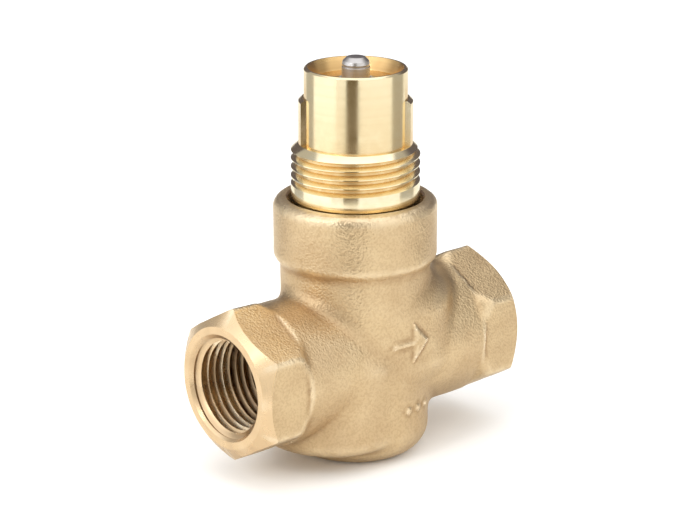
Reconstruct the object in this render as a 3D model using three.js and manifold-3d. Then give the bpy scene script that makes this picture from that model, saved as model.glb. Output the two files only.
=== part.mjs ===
// Straight-through globe zone valve: cast body, threaded bonnet and spring-returned stem.
// Millimetres, +Z up. The pipe runs along X and the stem along Z. Heights in this file are
// measured from the pipe axis; the whole valve is lifted so that its flat base is at Z = 0.
import * as THREE from 'three';
import { mergeVertices } from 'three/addons/utils/BufferGeometryUtils.js';
import Module from 'manifold-3d';

const wasm = await Module();
wasm.setup();

// ---- Body casting ------------------------------------------------------------------------
const FACE_TO_FACE = 70; // between the two port faces
const PIPE_AXIS_ABOVE_BASE = 21; // flat base to pipe axis
const HEX_ACROSS_FLATS = 28; // spanner size of the port ends
const HEX_LENGTH = 11.3; // face to the rear of the hexagon, at mid flat
const FACE_LAND_RADIUS = 12.6; // flat ring round each port mouth
const FACE_CHAMFER_LENGTH = 2.8; // turned cone in front of the hexagon corners
const HEX_REAR_CHAMFER_LENGTH = 2.3; // cone behind the hexagon corners
const NECK_RADIUS = 14.5; // round neck between hexagon and barrel
const BARREL_RADIUS = 15.4; // upright barrel
const BARREL_WALL = 3.2; // casting wall round the two chambers
const BOWL_ROUND_WIDTH = 5.5; // rounding of the bowl into the flat base
const BOWL_ROUND_HEIGHT = 6.5;
const BULGE_OFFSET = 6.2; // barrel axis to the axis of each passage bulge
const BULGE_NEAR_END = -6; // upper bulge, end past the pipe axis
const BULGE_FAR_END = 16.5; // upper bulge, end at its shoulder
const BULGE_ROUND_WIDTH = 6.4; // rounding of both ends of a bulge
const BULGE_ROUND_HEIGHT = 6;
const COLLAR_WALL = 2.97; // collar round the bonnet
const COLLAR_FOOT = 19.3; // lower end of the collar's chamfer
const COLLAR_CHAMFER_HEIGHT = 2.2;
const COLLAR_TOP = 33.4;
const COLLAR_EDGE_RADIUS = 1.8; // rounded outer top edge
const COLLAR_RELIEF_DEPTH = 3.2; // wide mouth of the collar bore
const COLLAR_RELIEF_GAP = 0.66; // dark gap round the bonnet at the mouth
const GASKET_LEDGE = 24; // ledge inside the collar that carries the bonnet gasket

// ---- Ports and passages ------------------------------------------------------------------
const PORT_THREAD_RADIUS = 10.48; // half-inch pipe thread, major radius
const PORT_THREAD_LENGTH = 15;
const PIPE_THREAD_PITCH = 1.814; // 14 threads per inch, ports and bonnet
const PIPE_THREAD_DEPTH = 1.16;
const PASSAGE_RADIUS = 9; // smooth bore behind each port thread
const WEB_TOP = 5.2; // top of the web that carries the seat
const WEB_UNDERSIDE = -4;
const WEB_THICKNESS = 2.4; // web between the two chambers, beside the seat tower
const POCKET_SHOULDER_WALL = 4.5; // casting over the end of each passage pocket
const BOWL_FLOOR = 4; // metal under the lower chamber

// ---- Seat and plug -----------------------------------------------------------------------
const STROKE = 3; // stem travel from open to closed
const CLOSED_GAP = 0.1; // disc above the seat at full stroke, so that solids never touch
const SEAT_BORE_RADIUS = 5.5;
const SEAT_RING_WALL = 2.1;
const SEAT_RING_SINK = 3; // depth of the ring in the web
const SEAT_RING_RISE = 1.3; // raised seat above the web
const SEAT_TOWER_WALL = 1.9; // casting round the seat ring
const SEAT_LEAD_IN = 0.6; // chamfer at the mouth of the seat
const DISC_OVERLAP = 1.9; // disc outside the seat bore
const DISC_THICKNESS = 2.4;
const DISC_PROUD = 0.6; // disc below the plug's rim
const PLUG_RIM_WALL = 0.8;
const PLUG_HEIGHT = 5;
const PLUG_HUB_RADIUS = 4.6;
const PLUG_HUB_HEIGHT = 1.6;
const DISC_WASHER_THICKNESS = 0.8;
const DISC_NUT_FLATS = 7;
const DISC_NUT_HEIGHT = 2.6;
const STEM_END_PAST_NUT = 0.8;

// ---- Bonnet ------------------------------------------------------------------------------
const RIM_HEIGHT = 60.2; // bonnet rim above the pipe axis
const BONNET_THREAD_RADIUS = 13.15; // three-quarter-inch union thread, major radius
const UNION_THREAD_START = 36;
const UNION_THREAD_TURNS = 4;
const UNION_THREAD_CHAMFER = 1.4;
const SHOULDER_RADIUS = 11.6; // guide lugs and inner end of the thread chamfer
const UPPER_RADIUS = 10.5; // smooth upper cylinder
const RIM_CHAMFER = 0.4;
const RIM_LAND = 0.2;
const LUG_HEIGHT = 9.3;
const LUG_HALF_ANGLE = 18; // degrees either side of the lug's middle
const LUG_BEARING = -41.4; // degrees from +X to the first lug's middle
const LUG_COUNT = 2;
const NOSE_BOTTOM = 19.5; // end of the bonnet inside the upper chamber
const NOSE_CLEARANCE = 0.4; // nose in the chamber bore
const GASKET_THICKNESS = 0.8;
const BONNET_ORING_SECTION = 1.4;
const BONNET_ORING_HEIGHT = 31.4;

// ---- Stem, packing and spring ------------------------------------------------------------
const STEM_RADIUS = 2.85;
const STEM_TIP_RADIUS = 2.1;
const STEM_ABOVE_RIM = 2.1;
const STEM_TIP_ROUND = 1.5; // height of the rounded shoulder at the tip
const STEM_TIP_GROOVE_DEPTH = 0.3;
const STEM_TIP_GROOVE_WIDTH = 0.5;
const STEM_END_RADIUS = 2; // threaded lower end
const CUP_DEPTH = 2.6; // rim to the top of the gland nut
const CUP_FLOOR_RADIUS = 8.5; // bonnet bore round the gland nut
const GLAND_NUT_HEIGHT = 4;
const WIPER_SECTION = 1.3;
const WIPER_RISE = 0.5; // lip above the gland nut
const STEM_ORING_SECTION = 2;
const SEAL_SPACER_HEIGHT = 1.3;
const BACKUP_WASHER_HEIGHT = 0.9;
const GUIDE_BUSH_HEIGHT = 5.2;
const GUIDE_BUSH_WALL = 1.7;
const GUIDE_BUSH_FLANGE = 1; // height of its flange
const BONNET_WEB = 1.8; // metal between packing and spring chamber
const SPRING_CHAMBER_RADIUS = 8.4;
const SPRING_WIRE = 1.4;
const SPRING_MEAN_RADIUS = 6.4;
const SPRING_MAX_TURNS = 5;
const COIL_SPACING = 1.1; // coil pitch over wire at full stroke
const STEM_CLIP_THICKNESS = 0.8;
const STEM_CLIP_GROOVE_DEPTH = 0.6;
const STEM_CLIP_WALL = 1.5; // clip outside the stem
const STEM_CLIP_OPENING = 80; // degrees left open
const RETAINER_THICKNESS = 1.4;
const OPEN_STOP_GAP = 0.3; // stem clip below the bonnet web when open
const SEAT_WASHER_THICKNESS = 1.1;
const SEAT_CLIP_THICKNESS = 0.9;
const SEAT_CLIP_WIDTH = 1.9;
const SEAT_CLIP_GROOVE_DEPTH = 1;
const SEAT_CLIP_OPENING = 30;
const NOSE_LIP = 1.2; // metal below the spring seat clip

// ---- Fits and facets ---------------------------------------------------------------------
const FIT_GAP = 0.2; // between fixed pieces
const RUNNING_GAP = 0.08; // round the moving stem
const OVERSHOOT = 1; // how far a cutter runs past the face it opens
const FACETS = 32; // round casting and bonnet
const FINE_FACETS = 24; // port threads and small turned pieces, the bores in step with the stem
const ARC_STEPS = 3;
const WIRE_FACETS = 6;
const STEPS_PER_TURN = 12;

// ---- Sizes worked out from those above ---------------------------------------------------
const halfLength = FACE_TO_FACE / 2;
const chamberRadius = BARREL_RADIUS - BARREL_WALL;
const threadBoreRadius = BONNET_THREAD_RADIUS + FIT_GAP;
const collarBoreRadius = BONNET_THREAD_RADIUS + COLLAR_RELIEF_GAP;
const collarRadius = collarBoreRadius + COLLAR_WALL;
const seatRingRadius = SEAT_BORE_RADIUS + SEAT_RING_WALL;
const seatTowerRadius = seatRingRadius + FIT_GAP + SEAT_TOWER_WALL;
const seatTop = WEB_TOP + SEAT_RING_RISE;
const noseRadius = Math.min(chamberRadius, BONNET_THREAD_RADIUS) - NOSE_CLEARANCE;
const bonnetSeat = GASKET_LEDGE + GASKET_THICKNESS + 2 * FIT_GAP;
const unionThreadTop = UNION_THREAD_START + UNION_THREAD_TURNS * PIPE_THREAD_PITCH;
const shoulderHeight = unionThreadTop + UNION_THREAD_CHAMFER;

// Packing stack, from the cup down to the bonnet's web.
const glandTop = RIM_HEIGHT - CUP_DEPTH;
const glandBottom = glandTop - GLAND_NUT_HEIGHT;
const upperRingTop = glandBottom - FIT_GAP;
const spacerTop = upperRingTop - STEM_ORING_SECTION - FIT_GAP;
const lowerRingTop = spacerTop - SEAL_SPACER_HEIGHT - FIT_GAP;
const washerTop = lowerRingTop - STEM_ORING_SECTION - FIT_GAP;
const bushTop = washerTop - BACKUP_WASHER_HEIGHT - FIT_GAP;
const bushBottom = bushTop - GUIDE_BUSH_HEIGHT;
const webUnderside = bushBottom - BONNET_WEB;
const boreRadius = STEM_RADIUS + RUNNING_GAP;
const packingRadius = boreRadius + STEM_ORING_SECTION;
const packingPocketRadius = packingRadius + FIT_GAP;
const bushRadius = boreRadius + GUIDE_BUSH_WALL;

// Spring stack, from the nose up and from the web down.
const seatClipBottom = NOSE_BOTTOM + NOSE_LIP + FIT_GAP / 2;
const springSeatBottom = seatClipBottom + SEAT_CLIP_THICKNESS + FIT_GAP;
const springBottom = springSeatBottom + SEAT_WASHER_THICKNESS + FIT_GAP;
const stemClipTop = webUnderside - OPEN_STOP_GAP;
const retainerTop = stemClipTop - STEM_CLIP_THICKNESS - FIT_GAP;
const springTop = retainerTop - RETAINER_THICKNESS - FIT_GAP;
const springLength = springTop - springBottom;
const turnsThatFit = (springLength - STROKE - SPRING_WIRE) / (SPRING_WIRE * COIL_SPACING);
const springTurns = Math.min(SPRING_MAX_TURNS, turnsThatFit);

// Plug stack, from the disc that meets the seat.
const discBottom = seatTop + STROKE + CLOSED_GAP;
const discRadius = SEAT_BORE_RADIUS + DISC_OVERLAP;
const plugBottom = discBottom + DISC_PROUD;
const plugRadius = discRadius + FIT_GAP + PLUG_RIM_WALL;
const discWasherBottom = discBottom - FIT_GAP - DISC_WASHER_THICKNESS;
const discWasherRadius = SEAT_BORE_RADIUS - 3 * FIT_GAP;
const discNutBottom = discWasherBottom - FIT_GAP - DISC_NUT_HEIGHT;
const stemEnd = discNutBottom - STEM_END_PAST_NUT;
const plugSocket = plugBottom + PLUG_HEIGHT + PLUG_HUB_HEIGHT;

// ---- Materials ---------------------------------------------------------------------------
const material = (color, roughness, metalness) =>
  new THREE.MeshStandardMaterial({ color, roughness, metalness, flatShading: true });
const castBrass = material(0xd6b88c, 0.55, 0.85);
const turnedBrass = material(0xecd49a, 0.25, 1);
const brightSteel = material(0xb9b6bb, 0.25, 1);
const springSteel = material(0x9a9ca0, 0.35, 1);
const sealRubber = material(0x1b1b1d, 0.8, 0);
const guidePolymer = material(0xe9e6dc, 0.5, 0);
const gasketFibre = material(0x8f8b80, 0.8, 0);

// ---- Solid tools -------------------------------------------------------------------------

// Merges shared corners, keeps positions only and drops triangles that have no area.
function weld(geometry) {
  geometry.deleteAttribute('normal');
  geometry.deleteAttribute('uv');
  const welded = mergeVertices(geometry);
  const corners = welded.getIndex();
  const kept = [];
  for (let i = 0; i < corners.count; i += 3) {
    const [a, b, c] = [corners.getX(i), corners.getX(i + 1), corners.getX(i + 2)];
    if (a !== b && b !== c && c !== a) kept.push(a, b, c);
  }
  welded.setIndex(kept);
  return welded;
}

function solidFrom(geometry) {
  const welded = weld(geometry);
  const vertProperties = Float32Array.from(welded.getAttribute('position').array);
  const triVerts = Uint32Array.from(welded.getIndex().array);
  return new wasm.Manifold(new wasm.Mesh({ numProp: 3, vertProperties, triVerts }));
}

function geometryFrom(solid) {
  const { vertProperties, triVerts } = solid.getMesh();
  const geometry = new THREE.BufferGeometry();
  geometry.setAttribute('position', new THREE.BufferAttribute(vertProperties, 3));
  geometry.setIndex(new THREE.BufferAttribute(triVerts, 1));
  return geometry;
}

const join = (solids) => solids.reduce((whole, next) => whole.add(next));
const cut = (blank, tools) => tools.reduce((whole, tool) => whole.subtract(tool), blank);

// Turns an outline of [radius, height] points about Z. The outer wall runs upwards.
function turn(outline, facets = FACETS) {
  const points = outline.map(([radius, height]) => new THREE.Vector2(radius, height));
  return new THREE.LatheGeometry(points, facets).rotateX(Math.PI / 2);
}

// Turns an outline of [radius, distance] points about X.
function turnAboutX(outline, facets = FACETS) {
  const points = outline.map(([radius, distance]) => new THREE.Vector2(radius, distance));
  return new THREE.LatheGeometry(points, facets).rotateZ(-Math.PI / 2);
}

const disc = (radius, bottom, top) => [[0, bottom], [radius, bottom], [radius, top], [0, top]];
const ring = (inner, outer, bottom, top) =>
  [[inner, bottom], [outer, bottom], [outer, top], [inner, top], [inner, bottom]];

// Quarter of an ellipse as outline points, from angle start to angle end in quarter turns.
function quarter(radius, height, width, rise, start, end) {
  const points = [];
  for (let step = 0; step <= ARC_STEPS; step += 1) {
    const angle = THREE.MathUtils.lerp(start, end, step / ARC_STEPS) * Math.PI / 2;
    points.push([radius + width * Math.cos(angle), height + rise * Math.sin(angle)]);
  }
  return points;
}

// Vee grooves between two radii: points [radius, height] going up, one groove per pitch.
function threadOutline(first, second, start, turns, direction = 1) {
  const points = [];
  for (let groove = 0; groove < turns; groove += 1) {
    points.push([first, start + direction * groove * PIPE_THREAD_PITCH]);
    points.push([second, start + direction * (groove + 0.5) * PIPE_THREAD_PITCH]);
  }
  points.push([first, start + direction * turns * PIPE_THREAD_PITCH]);
  return points;
}

function hexagonShape(acrossFlats, firstCorner) {
  const corners = [];
  for (let i = 0; i < 6; i += 1) {
    const angle = firstCorner + i * Math.PI / 3;
    const radius = acrossFlats / Math.sqrt(3);
    corners.push(new THREE.Vector2(radius * Math.cos(angle), radius * Math.sin(angle)));
  }
  return new THREE.Shape(corners);
}

const block = (x, y, z, centre) => new THREE.BoxGeometry(x, y, z).translate(...centre);

// ---- Body casting ------------------------------------------------------------------------

function barrelAndCollar() {
  const roundAxis = BARREL_RADIUS - BOWL_ROUND_WIDTH;
  const bowlTop = BOWL_ROUND_HEIGHT - PIPE_AXIS_ABOVE_BASE;
  const edgeAxis = collarRadius - COLLAR_EDGE_RADIUS;
  return turn([
    [0, -PIPE_AXIS_ABOVE_BASE],
    ...quarter(roundAxis, bowlTop, BOWL_ROUND_WIDTH, BOWL_ROUND_HEIGHT, -1, 0),
    [BARREL_RADIUS, COLLAR_FOOT],
    [collarRadius, COLLAR_FOOT + COLLAR_CHAMFER_HEIGHT],
    ...quarter(edgeAxis, COLLAR_TOP - COLLAR_EDGE_RADIUS, COLLAR_EDGE_RADIUS, COLLAR_EDGE_RADIUS, 0, 1),
    [0, COLLAR_TOP],
  ]);
}

// The casting swells over each passage: above the pipe axis at the outlet and, turned end
// for end, below it at the inlet.
function passageBulge(side) {
  const roundAxis = BARREL_RADIUS - BULGE_ROUND_WIDTH;
  const shape = turn([
    [0, BULGE_NEAR_END],
    ...quarter(roundAxis, BULGE_NEAR_END + BULGE_ROUND_HEIGHT, BULGE_ROUND_WIDTH, BULGE_ROUND_HEIGHT, -1, 0),
    ...quarter(roundAxis, BULGE_FAR_END - BULGE_ROUND_HEIGHT, BULGE_ROUND_WIDTH, BULGE_ROUND_HEIGHT, 0, 1),
    [0, BULGE_FAR_END],
  ]);
  shape.translate(BULGE_OFFSET, 0, 0);
  if (side < 0) shape.rotateY(Math.PI);
  return shape;
}

function hexagonEnd(side) {
  const rear = halfLength - HEX_LENGTH;
  const cornerRadius = HEX_ACROSS_FLATS / Math.sqrt(3);
  const prism = new THREE.ExtrudeGeometry(hexagonShape(HEX_ACROSS_FLATS, Math.PI / 2), {
    depth: HEX_LENGTH,
    bevelEnabled: false,
  });
  prism.rotateX(Math.PI / 2).rotateZ(Math.PI / 2).translate(rear, 0, 0);
  const cones = turnAboutX([
    [0, rear],
    [NECK_RADIUS, rear],
    [cornerRadius, rear + HEX_REAR_CHAMFER_LENGTH],
    [cornerRadius, halfLength - FACE_CHAMFER_LENGTH],
    [FACE_LAND_RADIUS, halfLength],
    [0, halfLength],
  ]);
  const end = solidFrom(prism).intersect(solidFrom(cones));
  return side < 0 ? end.rotate([0, 0, 180]) : end;
}

// Threaded port with a countersunk mouth, and the smooth bore behind it.
function portCutter(side) {
  const minorRadius = PORT_THREAD_RADIUS - PIPE_THREAD_DEPTH;
  const turns = Math.floor(PORT_THREAD_LENGTH / PIPE_THREAD_PITCH);
  const threadStart = halfLength - turns * PIPE_THREAD_PITCH - PIPE_THREAD_DEPTH;
  const cutter = turnAboutX([
    [0, threadStart],
    ...threadOutline(minorRadius, PORT_THREAD_RADIUS, threadStart, turns),
    [PORT_THREAD_RADIUS, halfLength],
    [PORT_THREAD_RADIUS, halfLength + OVERSHOOT],
    [0, halfLength + OVERSHOOT],
  ], FINE_FACETS);
  return side < 0 ? solidFrom(cutter).rotate([0, 0, 180]) : solidFrom(cutter);
}

// Passage from the seat tower to a port: a pocket beside the tower and a bore along the pipe
// axis, both on one side of the web, with the web's upright part left between the two pockets.
function passageCutter(side, pocketFloor) {
  const pocketTop = BULGE_FAR_END - POCKET_SHOULDER_WALL;
  const span = 4 * halfLength;
  const boreEnd = halfLength - PORT_THREAD_LENGTH / 2;
  const drum = turn(disc(chamberRadius, pocketFloor, pocketTop));
  const pocket = solidFrom(drum.translate(BULGE_OFFSET, 0, 0));
  const bore = solidFrom(turnAboutX(disc(PASSAGE_RADIUS, seatTowerRadius, boreEnd)));
  const aboveWeb = solidFrom(block(span, span, span, [0, 0, pocketFloor + span / 2]));
  const tower = solidFrom(turn(disc(seatTowerRadius, -span, side > 0 ? WEB_TOP : -WEB_UNDERSIDE)));
  const portSide = solidFrom(block(span, span, span, [(span + WEB_THICKNESS) / 2, 0, 0]));
  const passage = pocket.add(bore.intersect(aboveWeb)).intersect(portSide).subtract(tower);
  return side < 0 ? passage.rotate([0, 180, 0]) : passage;
}

function bodyCasting() {
  const casting = join([
    solidFrom(barrelAndCollar()),
    solidFrom(passageBulge(1)),
    solidFrom(passageBulge(-1)),
    solidFrom(turnAboutX(disc(NECK_RADIUS, HEX_LENGTH - halfLength, halfLength - HEX_LENGTH))),
    hexagonEnd(1),
    hexagonEnd(-1),
  ]);
  const reliefFloor = COLLAR_TOP - COLLAR_RELIEF_DEPTH;
  const chamberFloor = BOWL_FLOOR - PIPE_AXIS_ABOVE_BASE;
  const seatSocketFloor = WEB_TOP - SEAT_RING_SINK - FIT_GAP;
  return geometryFrom(cut(casting, [
    portCutter(1),
    portCutter(-1),
    passageCutter(1, WEB_UNDERSIDE + WEB_THICKNESS),
    passageCutter(-1, WEB_THICKNESS - WEB_TOP),
    solidFrom(turn(disc(chamberRadius, chamberFloor, WEB_UNDERSIDE))),
    solidFrom(turn(disc(chamberRadius, WEB_TOP, GASKET_LEDGE + OVERSHOOT))),
    solidFrom(turn(disc(SEAT_BORE_RADIUS, WEB_UNDERSIDE - OVERSHOOT, WEB_TOP), FINE_FACETS)),
    solidFrom(turn(disc(seatRingRadius + FIT_GAP, seatSocketFloor, WEB_TOP + OVERSHOOT), FINE_FACETS)),
    solidFrom(turn(disc(threadBoreRadius, GASKET_LEDGE, reliefFloor + OVERSHOOT))),
    solidFrom(turn(disc(collarBoreRadius, reliefFloor, COLLAR_TOP + OVERSHOOT))),
  ]));
}

// ---- Seat and bonnet ---------------------------------------------------------------------

function seatRing() {
  const height = SEAT_RING_SINK + SEAT_RING_RISE;
  return turn([
    [SEAT_BORE_RADIUS, 0],
    [seatRingRadius, 0],
    [seatRingRadius, height],
    [SEAT_BORE_RADIUS + SEAT_LEAD_IN, height],
    [SEAT_BORE_RADIUS, height - SEAT_LEAD_IN],
    [SEAT_BORE_RADIUS, 0],
  ], FINE_FACETS);
}

function bonnetGrooveOutline() {
  const floor = BONNET_THREAD_RADIUS - BONNET_ORING_SECTION;
  const half = BONNET_ORING_SECTION / 2 + FIT_GAP;
  return [
    [BONNET_THREAD_RADIUS, BONNET_ORING_HEIGHT - half],
    [floor, BONNET_ORING_HEIGHT - half],
    [floor, BONNET_ORING_HEIGHT + half],
    [BONNET_THREAD_RADIUS, BONNET_ORING_HEIGHT + half],
  ];
}

function bonnetShell() {
  const rootRadius = BONNET_THREAD_RADIUS - PIPE_THREAD_DEPTH;
  const rimBevel = UPPER_RADIUS - RIM_CHAMFER;
  const bushPocket = bushRadius + FIT_GAP;
  const clipGrooveRadius = SPRING_CHAMBER_RADIUS + SEAT_CLIP_GROOVE_DEPTH;
  const clipGrooveTop = seatClipBottom + SEAT_CLIP_THICKNESS + FIT_GAP / 2;
  const stemHole = STEM_RADIUS + 2 * FIT_GAP;
  return turn([
    [SPRING_CHAMBER_RADIUS, NOSE_BOTTOM],
    [noseRadius, NOSE_BOTTOM],
    [noseRadius, bonnetSeat],
    [BONNET_THREAD_RADIUS, bonnetSeat],
    ...bonnetGrooveOutline(),
    ...threadOutline(BONNET_THREAD_RADIUS, rootRadius, UNION_THREAD_START, UNION_THREAD_TURNS),
    [SHOULDER_RADIUS, shoulderHeight],
    [UPPER_RADIUS, shoulderHeight],
    [UPPER_RADIUS, RIM_HEIGHT - RIM_CHAMFER],
    [rimBevel, RIM_HEIGHT],
    [rimBevel - RIM_LAND, RIM_HEIGHT],
    [CUP_FLOOR_RADIUS, glandTop],
    [CUP_FLOOR_RADIUS, glandBottom - FIT_GAP],
    [packingPocketRadius, glandBottom - FIT_GAP],
    [packingPocketRadius, bushTop - GUIDE_BUSH_FLANGE - FIT_GAP],
    [bushPocket, bushTop - GUIDE_BUSH_FLANGE - FIT_GAP],
    [bushPocket, bushBottom - FIT_GAP],
    [stemHole, bushBottom - FIT_GAP],
    [stemHole, webUnderside],
    [SPRING_CHAMBER_RADIUS, webUnderside],
    [SPRING_CHAMBER_RADIUS, clipGrooveTop],
    [clipGrooveRadius, clipGrooveTop],
    [clipGrooveRadius, seatClipBottom - FIT_GAP / 2],
    [SPRING_CHAMBER_RADIUS, seatClipBottom - FIT_GAP / 2],
    [SPRING_CHAMBER_RADIUS, NOSE_BOTTOM],
  ]);
}

// Upright key on the side of the bonnet, which locates the actuator.
function guideLug(index) {
  const overlap = UPPER_RADIUS - RIM_CHAMFER;
  const halfWidth = SHOULDER_RADIUS * Math.sin(THREE.MathUtils.degToRad(LUG_HALF_ANGLE));
  const band = solidFrom(turn([
    [overlap, shoulderHeight - RIM_CHAMFER],
    [SHOULDER_RADIUS, shoulderHeight - RIM_CHAMFER],
    [SHOULDER_RADIUS, shoulderHeight + LUG_HEIGHT - RIM_CHAMFER],
    [SHOULDER_RADIUS - RIM_CHAMFER, shoulderHeight + LUG_HEIGHT],
    [overlap, shoulderHeight + LUG_HEIGHT],
    [overlap, shoulderHeight - RIM_CHAMFER],
  ]));
  const middle = [SHOULDER_RADIUS, 0, RIM_HEIGHT];
  const width = solidFrom(block(SHOULDER_RADIUS * 2, halfWidth * 2, RIM_HEIGHT * 2, middle));
  const bearing = LUG_BEARING + index * 360 / LUG_COUNT;
  return band.intersect(width.rotate([0, 0, bearing]));
}

function bonnet() {
  const lugs = Array.from({ length: LUG_COUNT }, (_, index) => guideLug(index));
  return geometryFrom(join([solidFrom(bonnetShell()), ...lugs]));
}

// ---- Packing -----------------------------------------------------------------------------

function glandNut() {
  const wiperPocket = boreRadius + WIPER_SECTION + FIT_GAP;
  const pocketFloor = GLAND_NUT_HEIGHT - WIPER_SECTION;
  return turn([
    [boreRadius, 0],
    [CUP_FLOOR_RADIUS - FIT_GAP, 0],
    [CUP_FLOOR_RADIUS - FIT_GAP, GLAND_NUT_HEIGHT],
    [wiperPocket, GLAND_NUT_HEIGHT],
    [wiperPocket, pocketFloor - FIT_GAP],
    [boreRadius, pocketFloor - FIT_GAP],
    [boreRadius, 0],
  ], FINE_FACETS);
}

function wiperRing() {
  return turn([
    [boreRadius, 0],
    [boreRadius + WIPER_SECTION, 0],
    [boreRadius + WIPER_SECTION, WIPER_SECTION],
    [boreRadius + WIPER_RISE, WIPER_SECTION + WIPER_RISE],
    [boreRadius, WIPER_SECTION + WIPER_RISE],
    [boreRadius, 0],
  ], FINE_FACETS);
}

const roundRing = (innerRadius, section, facets) =>
  new THREE.TorusGeometry(innerRadius + section / 2, section / 2, WIRE_FACETS, facets);

function guideBush() {
  return turn([
    [boreRadius, 0],
    [bushRadius, 0],
    [bushRadius, GUIDE_BUSH_HEIGHT - GUIDE_BUSH_FLANGE],
    [packingRadius, GUIDE_BUSH_HEIGHT - GUIDE_BUSH_FLANGE],
    [packingRadius, GUIDE_BUSH_HEIGHT],
    [boreRadius, GUIDE_BUSH_HEIGHT],
    [boreRadius, 0],
  ], FINE_FACETS);
}

// ---- Stem and plug -----------------------------------------------------------------------

function stemRod() {
  const top = RIM_HEIGHT + STEM_ABOVE_RIM;
  const roundFoot = top - STEM_TIP_ROUND;
  const grooveFoot = roundFoot - STEM_TIP_GROOVE_WIDTH;
  const tipGrooveRadius = STEM_RADIUS - STEM_TIP_GROOVE_DEPTH;
  const clipGrooveRadius = STEM_RADIUS - STEM_CLIP_GROOVE_DEPTH;
  const clipGrooveFoot = stemClipTop - STEM_CLIP_THICKNESS - FIT_GAP / 2;
  const shank = plugSocket - FIT_GAP;
  return turn([
    [0, stemEnd],
    [STEM_END_RADIUS, stemEnd],
    [STEM_END_RADIUS, shank - PLUG_HUB_HEIGHT],
    [STEM_RADIUS, shank - PLUG_HUB_HEIGHT],
    [STEM_RADIUS, clipGrooveFoot],
    [clipGrooveRadius, clipGrooveFoot],
    [clipGrooveRadius, stemClipTop + FIT_GAP / 2],
    [STEM_RADIUS, stemClipTop + FIT_GAP / 2],
    [STEM_RADIUS, grooveFoot],
    [tipGrooveRadius, grooveFoot],
    [tipGrooveRadius, roundFoot],
    ...quarter(STEM_TIP_RADIUS, roundFoot, STEM_RADIUS - STEM_TIP_RADIUS, STEM_TIP_ROUND, 0, 1),
    [0, top],
  ], FINE_FACETS);
}

function springRetainer() {
  return turn(ring(boreRadius, SPRING_CHAMBER_RADIUS - 4 * FIT_GAP, 0, RETAINER_THICKNESS), FINE_FACETS);
}

// Open retaining ring: an arc of a washer with a gap on one side.
function openClip(inner, outer, thickness, gapAngle) {
  const half = THREE.MathUtils.degToRad(gapAngle / 2);
  const shape = new THREE.Shape();
  shape.absarc(0, 0, outer, half, 2 * Math.PI - half, false);
  shape.absarc(0, 0, inner, 2 * Math.PI - half, half, true);
  return new THREE.ExtrudeGeometry(shape, {
    depth: thickness,
    bevelEnabled: false,
    curveSegments: FINE_FACETS,
  });
}

class Helix extends THREE.Curve {
  constructor(radius, rise, turns) {
    super();
    Object.assign(this, { radius, rise, turns });
  }

  getPoint(t, target = new THREE.Vector3()) {
    const angle = t * this.turns * 2 * Math.PI;
    return target.set(this.radius * Math.cos(angle), this.radius * Math.sin(angle), t * this.rise);
  }
}

function returnSpring() {
  const section = new THREE.Shape();
  section.absarc(0, 0, SPRING_WIRE / 2, 0, 2 * Math.PI, false);
  const coil = new THREE.ExtrudeGeometry(section, {
    steps: Math.ceil(springTurns * STEPS_PER_TURN),
    curveSegments: WIRE_FACETS / 2,
    extrudePath: new Helix(SPRING_MEAN_RADIUS, springLength - SPRING_WIRE, springTurns),
  });
  return coil.translate(0, 0, SPRING_WIRE / 2);
}

function plug() {
  const socketRadius = STEM_RADIUS + FIT_GAP;
  const tailRadius = STEM_END_RADIUS + FIT_GAP;
  const discPocketRoof = DISC_THICKNESS - DISC_PROUD + FIT_GAP;
  return turn([
    [tailRadius, discPocketRoof],
    [discRadius + FIT_GAP, discPocketRoof],
    [discRadius + FIT_GAP, 0],
    [plugRadius, 0],
    [plugRadius, PLUG_HEIGHT - PLUG_RIM_WALL],
    [plugRadius - PLUG_RIM_WALL, PLUG_HEIGHT],
    [PLUG_HUB_RADIUS, PLUG_HEIGHT],
    [PLUG_HUB_RADIUS, PLUG_HEIGHT + PLUG_HUB_HEIGHT],
    [socketRadius, PLUG_HEIGHT + PLUG_HUB_HEIGHT],
    [socketRadius, PLUG_HEIGHT - FIT_GAP * 2],
    [tailRadius, PLUG_HEIGHT - FIT_GAP * 2],
    [tailRadius, discPocketRoof],
  ], FINE_FACETS);
}

function discNut() {
  const shape = hexagonShape(DISC_NUT_FLATS, 0);
  const hole = new THREE.Path();
  hole.absarc(0, 0, STEM_END_RADIUS + FIT_GAP, 0, 2 * Math.PI, true);
  shape.holes.push(hole);
  return new THREE.ExtrudeGeometry(shape, {
    depth: DISC_NUT_HEIGHT,
    bevelEnabled: false,
    curveSegments: FINE_FACETS,
  });
}

// ---- Assembly ----------------------------------------------------------------------------

const valve = new THREE.Group();
valve.position.z = PIPE_AXIS_ABOVE_BASE;
const fixedPieces = new THREE.Group();
const stemAssembly = new THREE.Group();
valve.add(fixedPieces, stemAssembly);

function place(group, name, geometry, finish, height = 0) {
  const mesh = new THREE.Mesh(geometry.getAttribute('normal') ? weld(geometry) : geometry, finish);
  mesh.name = name;
  mesh.position.z = height;
  group.add(mesh);
}

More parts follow.
